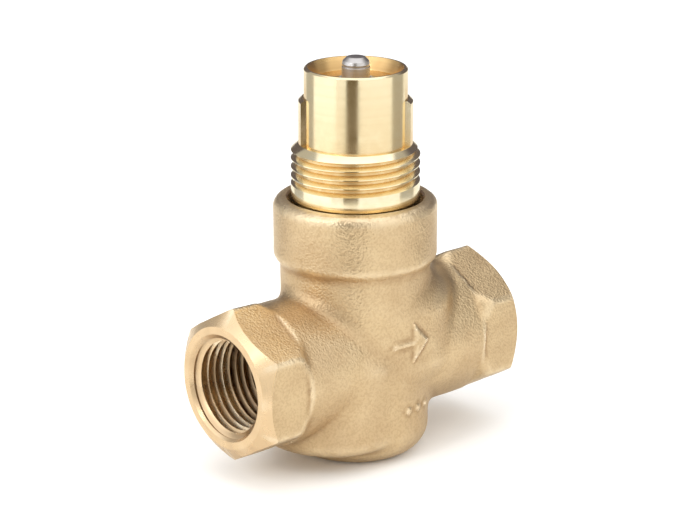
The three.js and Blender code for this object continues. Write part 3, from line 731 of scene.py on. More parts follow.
class Effects:
    """The effects that several finishes share, each built once."""

    def __init__(self) -> None:
        """Builds every group."""
        self.cast_skin = self.build_cast_skin()
        self.turning_marks = self.build_turning_marks()
        self.wear_and_shade = self.build_wear_and_shade()
        self.mottle = self.build_mottle()

    @staticmethod
    def build_cast_skin() -> bpy.types.NodeTree:
        """Lumpy sand-cast skin, with fine pits between the lumps."""
        tree, ends = new_group("cast_skin", {"Lumps per metre": 900.0}, ["Height", "Pits"])
        place = tree.place()
        lumps = tree.noise(place, ends["Lumps per metre"], 1.5)
        cells = tree.node("ShaderNodeTexVoronoi", feature="SMOOTH_F1")
        tree.feed(place, cells.inputs["Vector"])
        tree.feed(tree.math("MULTIPLY", ends["Lumps per metre"], 1.35), cells.inputs["Scale"])
        fine = tree.noise(place, tree.math("MULTIPLY", ends["Lumps per metre"], 3.4), 2.0)
        domes = tree.ramp(cells.outputs["Distance"], 0.05, 0.75, 1.0, 0.0)
        body = tree.math(
            "ADD", tree.math("MULTIPLY", lumps, 0.75), tree.math("MULTIPLY", domes, 0.35)
        )
        tree.feed(tree.math("ADD", body, tree.math("MULTIPLY", fine, 0.16)), ends["Height"])
        tree.feed(tree.ramp(body, 0.36, 0.62, 1.0, 0.0), ends["Pits"])
        return tree.tree

    @staticmethod
    def build_turning_marks() -> bpy.types.NodeTree:
        """Fine rings left by a cutting tool, round Z or, with Pipe at 1, round the pipe."""
        tree, ends = new_group(
            "turning_marks", {"Marks per metre": 6000.0, "Pipe": 0.0, "Pipe height": 0.021},
            ["Height", "Bands"]
        )
        split = tree.node("ShaderNodeSeparateXYZ")
        tree.feed(tree.place(), split.inputs[0])
        x, y, z = split.outputs
        lifted = tree.math("SUBTRACT", z, ends["Pipe height"])
        upright = tree.math(
            "ADD",
            z,
            tree.math(
                "SQRT", tree.math("ADD", tree.math("MULTIPLY", x, x), tree.math("MULTIPLY", y, y))
            ),
        )
        across = tree.math(
            "SQRT",
            tree.math("ADD", tree.math("MULTIPLY", y, y), tree.math("MULTIPLY", lifted, lifted)),
        )
        along = tree.math("ADD", tree.math("ABSOLUTE", x), across)
        chosen = tree.math(
            "ADD", tree.math("MULTIPLY", along, ends["Pipe"]),
            tree.math("MULTIPLY", upright, tree.math("SUBTRACT", 1.0, ends["Pipe"])),
        )
        rings = tree.node("ShaderNodeTexNoise", noise_dimensions="1D")
        tree.feed(chosen, rings.inputs["W"])
        tree.feed(ends["Marks per metre"], rings.inputs["Scale"])
        rings.inputs["Detail"].default_value = 2.0
        bands = tree.node("ShaderNodeTexNoise", noise_dimensions="1D")
        tree.feed(chosen, bands.inputs["W"])
        tree.feed(tree.math("MULTIPLY", ends["Marks per metre"], 0.07), bands.inputs["Scale"])
        tree.feed(rings.outputs["Fac"], ends["Height"])
        tree.feed(bands.outputs["Fac"], ends["Bands"])
        return tree.tree

    @staticmethod
    def build_wear_and_shade() -> bpy.types.NodeTree:
        """Rubbed outer edges, and grime with painted shade darkening creases, both broken up."""
        tree, ends = new_group(
            "wear_and_shade", {"Rub": 0.7, "Grime and shade": 0.7, "Breaks per metre": 500.0}, ["Rubbed", "Dirt and shade"]
        )
        breaks = tree.ramp(tree.noise(tree.place(), ends["Breaks per metre"], 3.0), 0.3, 0.62)
        rubbed = tree.math(
            "MULTIPLY",
            tree.mask("edge"),
            tree.math("ADD", 0.35, tree.math("MULTIPLY", breaks, 0.65)),
        )
        # Creases darkened partly by grime and partly by painted shade, broken up by noise.
        dirt_and_shade = tree.math(
            "MULTIPLY",
            tree.mask("crease"),
            tree.math("ADD", 0.5, tree.math("MULTIPLY", breaks, 0.5)),
        )
        tree.feed(tree.math("MULTIPLY", rubbed, ends["Rub"], clamp=True), ends["Rubbed"])
        tree.feed(tree.math("MULTIPLY", dirt_and_shade, ends["Grime and shade"], clamp=True), ends["Dirt and shade"])
        return tree.tree

    @staticmethod
    def build_mottle() -> bpy.types.NodeTree:
        """Slow cloudy change over a surface."""
        tree, ends = new_group("mottle", {"Clouds per metre": 90.0}, ["Clouds"])
        clouds = tree.noise(tree.place(), ends["Clouds per metre"], 4.0)
        tree.feed(tree.ramp(clouds, 0.32, 0.68), ends["Clouds"])
        return tree.tree


def paint(red: int, green: int, blue: int) -> tuple[float, float, float, float]:
    """Returns a colour of a printed shade, as light."""
    linear = [
        c / 12.92 if c <= 0.04045 else ((c + 0.055) / 1.055) ** 2.4 for c in (
            red / 255, green / 255, blue / 255
        )
    ]
    return (linear[0], linear[1], linear[2], 1.0)


@dataclass(frozen=True)
class Finish:
    """A surface finish: colours, gloss and relief.

    Attributes:
        name: Name of the finish.
        colour: Its main colour.
        deep: Colour of its clouds and pits, and of the grime and painted shade in its creases.
        bright: Colour of its rubbed edges.
        metallic: 1 for bare metal, 0 for rubber, polymer and fibre.
        roughness: Lowest and highest roughness.
        skin: Depth of the cast or moulded skin in millimetres, or 0.
        skin_size: Size of its lumps in millimetres.
        marks: Depth of the turning marks in millimetres, or 0.
        mark_pitch: Distance between turning marks in millimetres.
        bands: Strength of the broader bands among the marks.
        pipe: Whether the marks run round the pipe.
        rub: Strength of the rubbed edges.
        grime_and_shade: Strength of the grime and painted shade in creases.
        clouds: Strength of the slow change of colour.
    """

    name: str
    colour: tuple[float, ...]
    deep: tuple[float, ...]
    bright: tuple[float, ...]
    metallic: float = 1.0
    roughness: tuple[float, float] = (0.2, 0.35)
    skin: float = 0.0
    skin_size: float = 1.0
    marks: float = 0.0
    mark_pitch: float = 0.16
    bands: float = 0.25
    pipe: bool = False
    rub: float = 0.6
    grime_and_shade: float = 0.7
    clouds: float = 0.3

    def material(self, effects: Effects) -> bpy.types.Material:
        """Returns the finish as a material, made the first time it is asked for."""
        made = bpy.data.materials.get(self.name)
        if made:
            return made
        made = bpy.data.materials.new(self.name)
        made.use_nodes = True
        tree = Tree(made.node_tree)
        shader = made.node_tree.nodes["Principled BSDF"]
        shader.inputs["Metallic"].default_value = self.metallic
        wear_and_shade = self.use(tree, effects.wear_and_shade, {"Rub": self.rub, "Grime and shade": self.grime_and_shade})
        mottle = self.use(tree, effects.mottle, {})
        tint = tree.blend(
            tree.math("MULTIPLY", mottle["Clouds"], self.clouds), self.colour, self.deep
        )
        rough = tree.ramp(mottle["Clouds"], 0.0, 1.0, *self.roughness)
        normal = None
        if self.skin:
            skin = self.use(tree, effects.cast_skin, {"Lumps per metre": 1000.0 / self.skin_size})
            tint = tree.blend(tree.math("MULTIPLY", skin["Pits"], 0.16), tint, self.deep)
            normal = self.relief(tree, skin["Height"], self.skin, normal)
        if self.marks:
            settings = {"Marks per metre": 1000.0 / self.mark_pitch, "Pipe": float(self.pipe)}
            marks = self.use(tree, effects.turning_marks, settings)
            rough = tree.math("ADD", rough, tree.math("MULTIPLY", marks["Bands"], 0.08))
            tint = tree.blend(
                tree.ramp(marks["Bands"], 0.35, 0.75, 0.0, self.bands), tint, self.deep
            )
            normal = self.relief(tree, marks["Height"], self.marks, normal)
        # Creases darken toward the deep colour: partly grime, partly painted shade.
        tint = tree.blend(wear_and_shade["Dirt and shade"], tint, self.deep)
        tint = tree.blend(wear_and_shade["Rubbed"], tint, self.bright)
        rough = tree.math("SUBTRACT", rough, tree.math("MULTIPLY", wear_and_shade["Rubbed"], 0.12))
        rough = tree.math("ADD", rough, tree.math("MULTIPLY", wear_and_shade["Dirt and shade"], 0.2), clamp=True)
        tree.feed(tint, shader.inputs["Base Color"])
        tree.feed(rough, shader.inputs["Roughness"])
        if normal:
            tree.feed(normal, shader.inputs["Normal"])
        return made

    @staticmethod
    def use(tree: Tree, group: bpy.types.NodeTree, settings: dict[str, float]) -> dict[
        str, bpy.types.NodeSocket
    ]:
        """Places a shared effect with its own values and returns its outputs by name."""
        made = tree.node("ShaderNodeGroup", node_tree=group)
        for name, value in settings.items():
            made.inputs[name].default_value = value
        return {socket.name: socket for socket in made.outputs}

    @staticmethod
    def relief(
        tree: Tree, height: bpy.types.NodeSocket, depth: float, under: bpy.types.NodeSocket | None
    ) -> bpy.types.NodeSocket:
        """Returns a normal that shows a height of a given depth, on top of another normal."""
        bump = tree.node("ShaderNodeBump")
        bump.inputs["Distance"].default_value = depth * MM
        tree.feed(height, bump.inputs["Height"])
        if under:
            tree.feed(under, bump.inputs["Normal"])
        return bump.outputs["Normal"]


# Each finish's deep colour and crease strength also paint shade into its creases, such as dark
# thread roots and the collar foot.
CAST = Finish(
    "cast_skin_brass", paint(219, 195, 156), paint(132, 88, 54), paint(255, 238, 206), 0.94,
    (0.33, 0.42), skin=0.125, skin_size=0.56, rub=0.5, grime_and_shade=0.4, clouds=0.18,
)
MACHINED = Finish(
    "machined_pipe_brass", paint(240, 212, 172), paint(88, 50, 30), paint(255, 240, 212), 1.0,
    (0.2, 0.3), marks=0.012, mark_pitch=0.2, pipe=True, rub=0.9, grime_and_shade=1.0, clouds=0.16,
)
POLISHED = Finish(
    "turned_bonnet_brass", paint(252, 238, 200), paint(216, 168, 84), paint(255, 250, 228), 1.0,
    (0.11, 0.16), marks=0.0016, mark_pitch=0.1, bands=0.08, rub=0.6, grime_and_shade=0.7, clouds=0.08,
)
GLAND = Finish(
    "gland_brass", paint(234, 198, 138), paint(138, 90, 46), paint(250, 222, 170), 1.0,
    (0.24, 0.34), marks=0.01, mark_pitch=0.18, clouds=0.3,
)
STEEL = Finish(
    "stem_steel", paint(208, 206, 208), paint(128, 125, 128), paint(236, 236, 238), 1.0,
    (0.24, 0.34), marks=0.004, mark_pitch=0.1, clouds=0.25,
)
SPRING_WIRE = Finish(
    "spring_wire", paint(160, 161, 165), paint(82, 80, 84), paint(214, 214, 218), 1.0,
    (0.28, 0.42), skin=0.01, skin_size=0.3, clouds=0.35,
)
RUBBER = Finish(
    "seal_rubber_black", paint(30, 30, 32), paint(14, 14, 15), paint(58, 57, 58), 0.0,
    (0.62, 0.82), skin=0.02, skin_size=0.35, rub=0.4, clouds=0.4,
)
WIPER = Finish(
    "wiper_grey", paint(176, 168, 160), paint(110, 102, 96), paint(206, 200, 194), 0.0,
    (0.38, 0.52), skin=0.01, skin_size=0.3, rub=0.4, clouds=0.4,
)
POLYMER = Finish(
    "guide_polymer_white", paint(232, 228, 216), paint(186, 178, 158), paint(246, 244, 238), 0.0,
    (0.42, 0.58), marks=0.006, mark_pitch=0.2, rub=0.3, clouds=0.3,
)
FIBRE = Finish(
    "gasket_fibre_grey", paint(146, 140, 130), paint(96, 90, 82), paint(176, 170, 160), 0.0,
    (0.72, 0.9), skin=0.06, skin_size=0.5, rub=0.3, clouds=0.5,
)


def place(
    piece: bpy.types.Object, node: str, body: Body, slot: Slot, finishes: Sequence[Finish],
    effects: Effects, marked: bool = False,
) -> bpy.types.Object:
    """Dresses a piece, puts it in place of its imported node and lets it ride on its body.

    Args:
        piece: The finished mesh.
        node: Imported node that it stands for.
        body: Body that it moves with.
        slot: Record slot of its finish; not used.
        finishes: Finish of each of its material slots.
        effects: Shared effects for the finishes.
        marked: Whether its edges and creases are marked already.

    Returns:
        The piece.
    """
    chosen = np.zeros(len(piece.data.polygons), np.int32)
    piece.data.polygons.foreach_get("material_index", chosen)
    piece.data.materials.clear()
    for finish in finishes:
        piece.data.materials.append(finish.material(effects))
    piece.data.polygons.foreach_set("material_index", np.minimum(chosen, len(finishes) - 1))
    if not marked:
        mark_folds(piece)
    finish_mesh(piece)
    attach(piece, body.value)
    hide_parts(node)
    LOG.info("%s: %d faces on %s, for %s", piece.name, len(piece.data.polygons), body.value, node)
    return piece


# ---- Sub-assemblies -------------------------------------------------------------------------


@dataclass
class BodyCasting:
    """The cast body with its machined ports, seat socket and collar mouth."""

    casting: Casting
    land_radius: float = 12.6
    chamfer_length: float = 2.8
    corner_radius: float = 16.17
    bore_radius: float = 9.32
    thread_radius: float = 10.48
    thread_pitch: float = 1.814
    thread_length: float = 14.6
    mouth_radius: float = 11.05
    collar_bore: float = 13.81
    collar_relief: float = 3.2
    collar_thread_bore: float = 13.35
    seat_bore: float = 5.5
    socket_radius: float = 7.8
    socket_floor: float = 2.0

    def facing_tool(self) -> Shape:
        """Returns the waste outside a port's flat face and the cone behind it."""
        face = self.casting.face
        slope = (self.corner_radius - self.land_radius) / self.chamfer_length
        past = 2.4
        outline = [
            (0.0, face), (self.land_radius, face),
            (self.land_radius + slope * past * 1.6, face - past * 1.6),
            (self.land_radius + slope * past * 1.6 + 3.0, face - past * 1.6), (21.0, face + past),
            (0.0, face + past),
        ]
        return turned_shape(outline, 160, Axis.X)

    def bore_tool(self) -> Shape:
        """Returns the port's plain bore and its countersunk mouth."""
        face = self.casting.face
        inner = face - self.thread_length - 1.4
        lead = self.mouth_radius - self.bore_radius
        outline = [
            (0.0, inner), (self.bore_radius - 1.0, inner), (self.bore_radius, inner + 1.0),
            (self.bore_radius, face - lead), (self.mouth_radius + 1.0, face + 1.0),
            (0.0, face + 1.0),
        ]
        return turned_shape(outline, 160, Axis.X)

    def thread_tool(self) -> Shape:
        """Returns the helical groove of the port's thread."""
        start = self.casting.face - self.thread_length
        thread = Thread(
            self.bore_radius, self.thread_radius, self.thread_pitch, start, self.thread_length + 2.2
        )
        return thread.cutter().laid_along_x()

    def upright_tools(self) -> list[Shape]:
        """Returns the cutters of the collar mouth, its bore, the seat socket and the seat bore."""
        top, ledge = self.casting.collar_span[1], self.casting.ledge
        relief = top - self.collar_relief
        mouth = rounded([
            (0.0, relief, 0.0), (self.collar_bore, relief, 0.3),
            (self.collar_bore, top - 0.35, 0.1),
            (self.collar_bore + 1.4, top + 1.0, 0.0), (0.0, top + 1.0, 0.0),
        ])
        bore = rounded([
            (0.0, ledge, 0.0), (self.collar_thread_bore, ledge, 0.2),
            (self.collar_thread_bore, relief + 0.5, 0.0), (0.0, relief + 0.5, 0.0),
        ])
        web_top, under = self.casting.web[1], self.casting.web[0]
        socket = [
            (0.0, self.socket_floor), (self.socket_radius, self.socket_floor),
            (self.socket_radius, web_top - 0.3), (self.socket_radius + 1.3, web_top + 1.0),
            (0.0, web_top + 1.0),
        ]
        seat = [
            (0.0, under - 1.0),
            (self.seat_bore, under - 1.0),
            (self.seat_bore, web_top),
            (0.0, web_top),
        ]
        return [turned_shape(outline, 144) for outline in (mouth, bore, socket, seat)]

    def mark_machined(self, body: bpy.types.Object) -> None:
        """Gives the second finish to every face that lies below the cast skin."""
        middles = np.empty(len(body.data.polygons) * 3)
        body.data.polygons.foreach_get("center", middles)
        below = self.casting.field(middles.reshape(-1, 3) / MM) < -0.07
        while len(body.data.materials) < 2:
            body.data.materials.append(None)
        body.data.polygons.foreach_set("material_index", below.astype(np.int32))

    def build(self, effects: Effects) -> bpy.types.Object:
        """Casts and machines the body, and returns it dressed."""
        blank = make_object("body_casting", self.casting.shape(), orient=False)
        height = self.casting.pipe_height
        shapes = [shape.moved(z=height) for shape in self.upright_tools()]
        for tool in (self.facing_tool(), self.bore_tool(), self.thread_tool()):
            shapes += [tool.moved(z=height), tool.turned(180.0).moved(z=height)]
        tools = [make_object(f"cutter_{i}", shape) for i, shape in enumerate(shapes)]
        combine(blank, tools, "DIFFERENCE")
        self.mark_machined(blank)
        mark_bends(blank, self.casting.field)
        return place(
            blank,
            "valve_body",
            Body.HOUSING,
            Slot.CAST_BRASS,
            (CAST, MACHINED),
            effects,
            marked=True,
        )


@dataclass
class Bonnet:
    """The threaded bonnet with its guide lugs, gasket and ring, and the gland nut in its cup."""

    pipe_height: float = 21.0
    nose: tuple[float, float] = (11.8, 19.5)
    seat: float = 25.2
    thread_radius: float = 13.15
    root_radius: float = 11.99
    thread_pitch: float = 1.814
    thread_start: float = 36.0
    thread_turns: int = 4
    shoulder: tuple[float, float] = (11.6, 44.656)
    upper_radius: float = 10.5
    rim: float = 60.2
    cup_radius: float = 8.5
    gland_top: float = 57.6
    gland_bottom: float = 53.6
    pocket_radius: float = 5.13
    bush_pocket: tuple[float, float] = (4.83, 45.2)
    bush_bottom: float = 41.0
    stem_hole: float = 3.25
    web_underside: float = 39.4
    chamber_radius: float = 8.4
    clip_groove: tuple[float, float, float] = (9.4, 20.7, 21.8)
    ring_height: float = 31.4
    ring_section: float = 1.4
    lug_height: float = 9.3
    lug_half_angle: float = 18.0
    lug_bearing: float = -41.4
    stem_clearance: float = 2.93

    def outline(self) -> Outline:
        """Returns the bonnet's section."""
        half = self.ring_section / 2.0 + 0.2
        floor = self.thread_radius - self.ring_section
        groove, clip_low, clip_high = self.clip_groove
        return rounded([
            (self.chamber_radius, self.nose[1], 0.3), (self.nose[0], self.nose[1], 0.5),
            (self.nose[0], self.seat, 0.15), (self.thread_radius, self.seat, 0.4),
            (self.thread_radius, self.ring_height - half, 0.15),
            (floor, self.ring_height - half, 0.1),
            (floor, self.ring_height + half, 0.1),
            (self.thread_radius, self.ring_height + half, 0.15),
            (self.thread_radius, self.shoulder[1] - 1.4, 0.2),
            (self.shoulder[0], self.shoulder[1], 0.12),
            (self.upper_radius, self.shoulder[1], 0.18), (self.upper_radius, self.rim - 0.35, 0.15),
            (self.upper_radius - 0.35, self.rim, 0.12), (self.upper_radius - 0.75, self.rim, 0.12),
            (self.cup_radius, self.gland_top, 0.25),
            (self.cup_radius, self.gland_bottom - 0.2, 0.15),
            (self.pocket_radius, self.gland_bottom - 0.2, 0.25),
            (self.pocket_radius, self.bush_pocket[1], 0.1),
            (self.bush_pocket[0], self.bush_pocket[1], 0.1),
            (self.bush_pocket[0], self.bush_bottom, 0.1),
            (self.stem_hole, self.bush_bottom, 0.2), (self.stem_hole, self.web_underside, 0.2),
            (self.chamber_radius, self.web_underside, 0.6), (self.chamber_radius, clip_high, 0.08),
            (groove, clip_high, 0.08), (groove, clip_low, 0.08),
            (self.chamber_radius, clip_low, 0.08),
        ], 3)

    def lug(self, bearing: float) -> bpy.types.Object:
        """Returns one upright key, with bevelled ends and sides."""
        outer, foot = self.shoulder
        top = foot + self.lug_height
        inner = self.upper_radius - 0.5
        band = turned_shape(rounded([
            (inner, foot - 0.5, 0.0), (outer, foot - 0.5, 0.0), (outer, top - 0.6, 0.15),
            (outer - 0.7, top, 0.15), (inner, top, 0.0),
        ]), 160)
        half = outer * math.sin(math.radians(self.lug_half_angle))
        bevel = 0.35
        sides = [(0.0, -half), (outer - bevel, -half), (outer + 2.0, -half + 2.0 + bevel),
                 (outer + 2.0, half - 2.0 - bevel), (outer - bevel, half), (0.0, half)]
        count = len(sides)
        corners = [(x, y, z) for z in (foot - 2.0, top + 2.0) for x, y in sides]
        walls = [(k, (k + 1) % count, count + (k + 1) % count, count + k) for k in range(count)]
        wedge = Shape(
            np.array(corners), [tuple(range(count))[::-1], tuple(range(count, 2 * count)), *walls]
        )
        made = make_object("lug_band", band.moved(z=self.pipe_height))
        trim = make_object("lug_trim", wedge.turned(bearing).moved(z=self.pipe_height))
        combine(made, [trim], "INTERSECT")
        return made

    def build(self, effects: Effects) -> list[bpy.types.Object]:
        """Turns, threads and fits the bonnet and the pieces fixed in it, and returns them."""
        lift = self.pipe_height
        shell = make_object("bonnet_turned", turned_shape(self.outline(), 192).moved(z=lift))
        combine(shell, [self.lug(self.lug_bearing), self.lug(self.lug_bearing + 180.0)], "UNION")
        length = self.thread_turns * self.thread_pitch + 1.2
        thread = Thread(
            self.thread_radius, self.root_radius, self.thread_pitch, self.thread_start + 0.2, length
        )
        combine(shell, [make_object("union_thread", thread.cutter().moved(z=lift))], "DIFFERENCE")
        for face in shell.data.polygons:
            middle = face.center / MM
            out = math.hypot(middle.x, middle.y)
            in_cup = out < self.upper_radius - 0.72 and middle.z > self.gland_top + lift - 1.0
            face.material_index = int(in_cup)
        pieces = [
            place(shell, "bonnet", Body.HOUSING, Slot.TURNED_BRASS, (POLISHED, GLAND), effects)
        ]
        seat, ledge = self.seat - 0.2, self.seat - 1.0
        gasket = rounded(
            [(12.2, ledge, 0.2), (13.15, ledge, 0.2), (13.15, seat, 0.2), (12.2, seat, 0.2)]
        )
        pieces.append(
            self.fitted(
                "bonnet_gasket_fibre", gasket, "bonnet_gasket", Slot.GASKET_FIBRE, FIBRE, effects
            )
        )
        section = self.ring_section / 2.0
        middle = self.thread_radius - section
        ring = round_section(middle, self.ring_height, section - 0.02)
        pieces.append(
            self.fitted(
                "bonnet_ring_rubber", ring, "bonnet_oring", Slot.SEAL_RUBBER, RUBBER, effects
            )
        )
        pieces.append(self.gland(effects))
        return pieces

    def fitted(
        self, name: str, outline: Outline, node: str, slot: Slot, finish: Finish, effects: Effects
    ) -> bpy.types.Object:
        """Returns a turned piece fixed in the bonnet."""
        made = make_object(name, turned_shape(outline, 128).moved(z=self.pipe_height))
        return place(made, node, Body.HOUSING, slot, (finish,), effects)

    def gland(self, effects: Effects) -> bpy.types.Object:
        """Returns the gland nut, with two blind holes for a pin spanner."""
        outer, low, top = self.cup_radius - 0.2, self.gland_bottom, self.gland_top
        pocket = self.stem_clearance + 1.5
        nut = make_object("gland_nut_turned", turned_shape(rounded([
            (self.stem_clearance, low, 0.2), (outer, low, 0.3), (outer, top, 0.3),
            (pocket + 0.25, top, 0.1),
            (pocket, top - 0.3, 0.1), (pocket, top - 1.5, 0.1),
            (self.stem_clearance, top - 1.5, 0.15),
        ]), 128).moved(z=self.pipe_height))
        pin = turned_shape(
            [
                (0.0, top - 1.6),
                (0.65, top - 1.3),
                (0.65, top - 0.15),
                (1.0, top + 0.4),
                (0.0, top + 0.4),
            ],
            24,
        )
        away = self.lug_bearing + 90.0
        pins = [
            pin.moved(x=6.3).turned(away + turn).moved(z=self.pipe_height) for turn in (0.0, 180.0)
        ]
        combine(nut, [make_object(f"pin_{i}", shape) for i, shape in enumerate(pins)], "DIFFERENCE")
        return place(nut, "gland_nut", Body.HOUSING, Slot.TURNED_BRASS, (GLAND,), effects)


def round_section(radius: float, height: float, half: float, steps: int = 20) -> Outline:
    """Returns the round section of a ring."""
    angles = [2.0 * math.pi * k / steps for k in range(steps)]
    return [(radius + half * math.cos(a), height + half * math.sin(a)) for a in angles]


def part_ring(outline: Outline, gap: float, facets: int = 72) -> Shape:
    """Turns a closed section part of the way round, for an open clip.

    Args:
        outline: Points of radius and height.
        gap: Angle left open, in degrees, round the X axis's positive side.
        facets: Steps round the clip.

    Returns:
        The closed surface.
    """
    count = len(outline)
    angles = np.radians(np.linspace(gap / 2.0, 360.0 - gap / 2.0, facets + 1))
    corners = [(r * math.cos(a), r * math.sin(a), z) for a in angles for r, z in outline]
    faces: list[tuple[int, ...]] = []
    for i in range(facets):
        a, b = i * count, (i + 1) * count
        faces.extend((a + k, a + (k + 1) % count, b + (k + 1) % count, b + k) for k in range(count))
    faces += [tuple(range(count)), tuple(range(facets * count, (facets + 1) * count))]
    return Shape(np.array(corners), faces)


@dataclass
class StemPacking:
    """The wiper, rings, spacer, washer and bush that seal and guide the stem."""

    pipe_height: float = 21.0
    bore: float = 2.93
    section: float = 2.0
    gland_top: float = 57.6
    upper_top: float = 53.4
    spacer_top: float = 51.2
    lower_top: float = 49.7
    washer_top: float = 47.5
    bush_top: float = 46.4
    bush_height: float = 5.2
    bush_radius: float = 4.63

    def sections(self) -> list[tuple[str, str, Slot, Finish, Outline]]:
        """Returns the name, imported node, slot, finish and section of each piece."""
        bore, outer = self.bore, self.bore + self.section
        foot = self.gland_top - 1.3
        wiper = rounded([
            (bore, foot, 0.1), (bore + 1.3, foot, 0.15), (bore + 1.3, foot + 1.25, 0.2),
            (bore + 0.85, foot + 1.4, 0.2), (bore + 0.3, foot + 1.8, 0.1), (bore, foot + 1.8, 0.05),
        ])
        ring = self.section / 2.0 - 0.02
        upper = round_section(bore + 1.0, self.upper_top - 1.0, ring)
        lower = round_section(bore + 1.0, self.lower_top - 1.0, ring)
        spacer = self.washer(self.spacer_top, 1.3, outer)
        washer = self.washer(self.washer_top, 0.9, outer)
        bush = rounded([
            (bore, self.bush_top - self.bush_height, 0.2),
            (self.bush_radius, self.bush_top - self.bush_height, 0.3),
            (self.bush_radius, self.bush_top - 1.0, 0.1), (outer, self.bush_top - 1.0, 0.1),
            (outer, self.bush_top, 0.2), (bore, self.bush_top, 0.2),
        ])
        return [
            ("stem_wiper_rubber", "wiper_ring", Slot.GUIDE_POLYMER, WIPER, wiper),
            ("upper_ring_rubber", "upper_stem_oring", Slot.SEAL_RUBBER, RUBBER, upper),
            ("ring_spacer_turned", "seal_spacer", Slot.TURNED_BRASS, GLAND, spacer),
            ("lower_ring_rubber", "lower_stem_oring", Slot.SEAL_RUBBER, RUBBER, lower),
            ("backup_washer_turned", "backup_washer", Slot.GUIDE_POLYMER, POLYMER, washer),
            ("guide_bush_turned", "guide_bush", Slot.GUIDE_POLYMER, POLYMER, bush),
        ]

    def washer(self, top: float, height: float, outer: float) -> Outline:
        """Returns the section of a plain washer."""
        low = top - height
        return rounded(
            [(self.bore, low, 0.12), (outer, low, 0.12), (outer, top, 0.12), (self.bore, top, 0.12)]
        )

    def build(self, effects: Effects) -> list[bpy.types.Object]:
        """Makes every packing piece and returns them."""
        made = []
        for name, node, slot, finish, outline in self.sections():
            piece = make_object(name, turned_shape(outline, 112).moved(z=self.pipe_height))
            made.append(place(piece, node, Body.HOUSING, slot, (finish,), effects))
        return made


@dataclass
class ReturnSpring:
    """The coil spring with its seat washer and retaining clip."""

    pipe_height: float = 21.0
    bottom: float = 23.2
    top: float = 36.5
    wire: float = 1.4
    mean_radius: float = 6.4
    turns: float = 5.0
    stroke: float = 3.0
    bore: float = 8.4

    def coil(self) -> Shape:
        """Returns the coil with its end turns closed, before they are ground flat."""
        steps, sides, half = 260, 14, self.wire / 2.0
        first, last = self.bottom + 0.42 * self.wire, self.top - 0.42 * self.wire
        closed = 1.04 * self.wire
        heights = np.interp(
            np.linspace(0.0, self.turns, steps + 1), [0.0, 0.9, self.turns - 0.9, self.turns],
            [first, first + 0.9 * closed, last - 0.9 * closed, last],
        )
        corners = []
        for i, height in enumerate(heights):
            turn = 2.0 * math.pi * self.turns * i / steps
            for k in range(sides):
                a = 2.0 * math.pi * k / sides
                radius = self.mean_radius + half * math.cos(a)
                corners.append(
                    (radius * math.cos(turn), radius * math.sin(turn), height + half * math.sin(a))
                )
        faces: list[tuple[int, ...]] = []
        for i in range(steps):
            a, b = i * sides, (i + 1) * sides
            faces.extend(
                (a + k, a + (k + 1) % sides, b + (k + 1) % sides, b + k) for k in range(sides)
            )
        faces += [tuple(range(sides)), tuple(range(steps * sides, (steps + 1) * sides))]
        return Shape(np.array(corners), faces)

    def build(self, effects: Effects) -> list[bpy.types.Object]:
        """Winds the spring, grinds its ends and fits its seat and clip."""
        lift = self.pipe_height
        spring = make_object("return_spring_coil", self.coil().moved(z=lift))
        room = block((-9.0, -9.0, self.bottom + 0.02), (9.0, 9.0, self.top - 0.02))
        combine(spring, [make_object("spring_room", room.moved(z=lift))], "INTERSECT")
        place(spring, "return_spring", Body.HOUSING, Slot.SPRING_STEEL, (SPRING_WIRE,), effects)
        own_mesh(spring)
        seat_low = self.bottom - 1.3
        seat = rounded([
            (3.6, seat_low, 0.15), (self.bore - 0.2, seat_low, 0.15),
            (self.bore - 0.2, seat_low + 1.1, 0.15), (3.6, seat_low + 1.1, 0.15),
        ])
        return [
            spring,
            self.fitted("spring_seat_washer", turned_shape(seat, 112), "spring_seat", effects),
            self.fitted("seat_clip_steel", self.clip(), "seat_clip", effects),
        ]

    def clip(self) -> Shape:
        """Returns the open clip that holds the spring seat in its groove."""
        low = self.bottom - 2.4
        outer = self.bore + 0.8
        return part_ring(rounded([
            (outer - 1.9, low, 0.15), (outer, low, 0.15), (outer, low + 0.9, 0.15),
            (outer - 1.9, low + 0.9, 0.15),
        ]), 40.0)

    def fitted(self, name: str, shape: Shape, node: str, effects: Effects) -> bpy.types.Object:
        """Returns a steel piece fixed under the spring."""
        made = make_object(name, shape.moved(z=self.pipe_height))
        return place(made, node, Body.HOUSING, Slot.SPRING_STEEL, (STEEL,), effects)


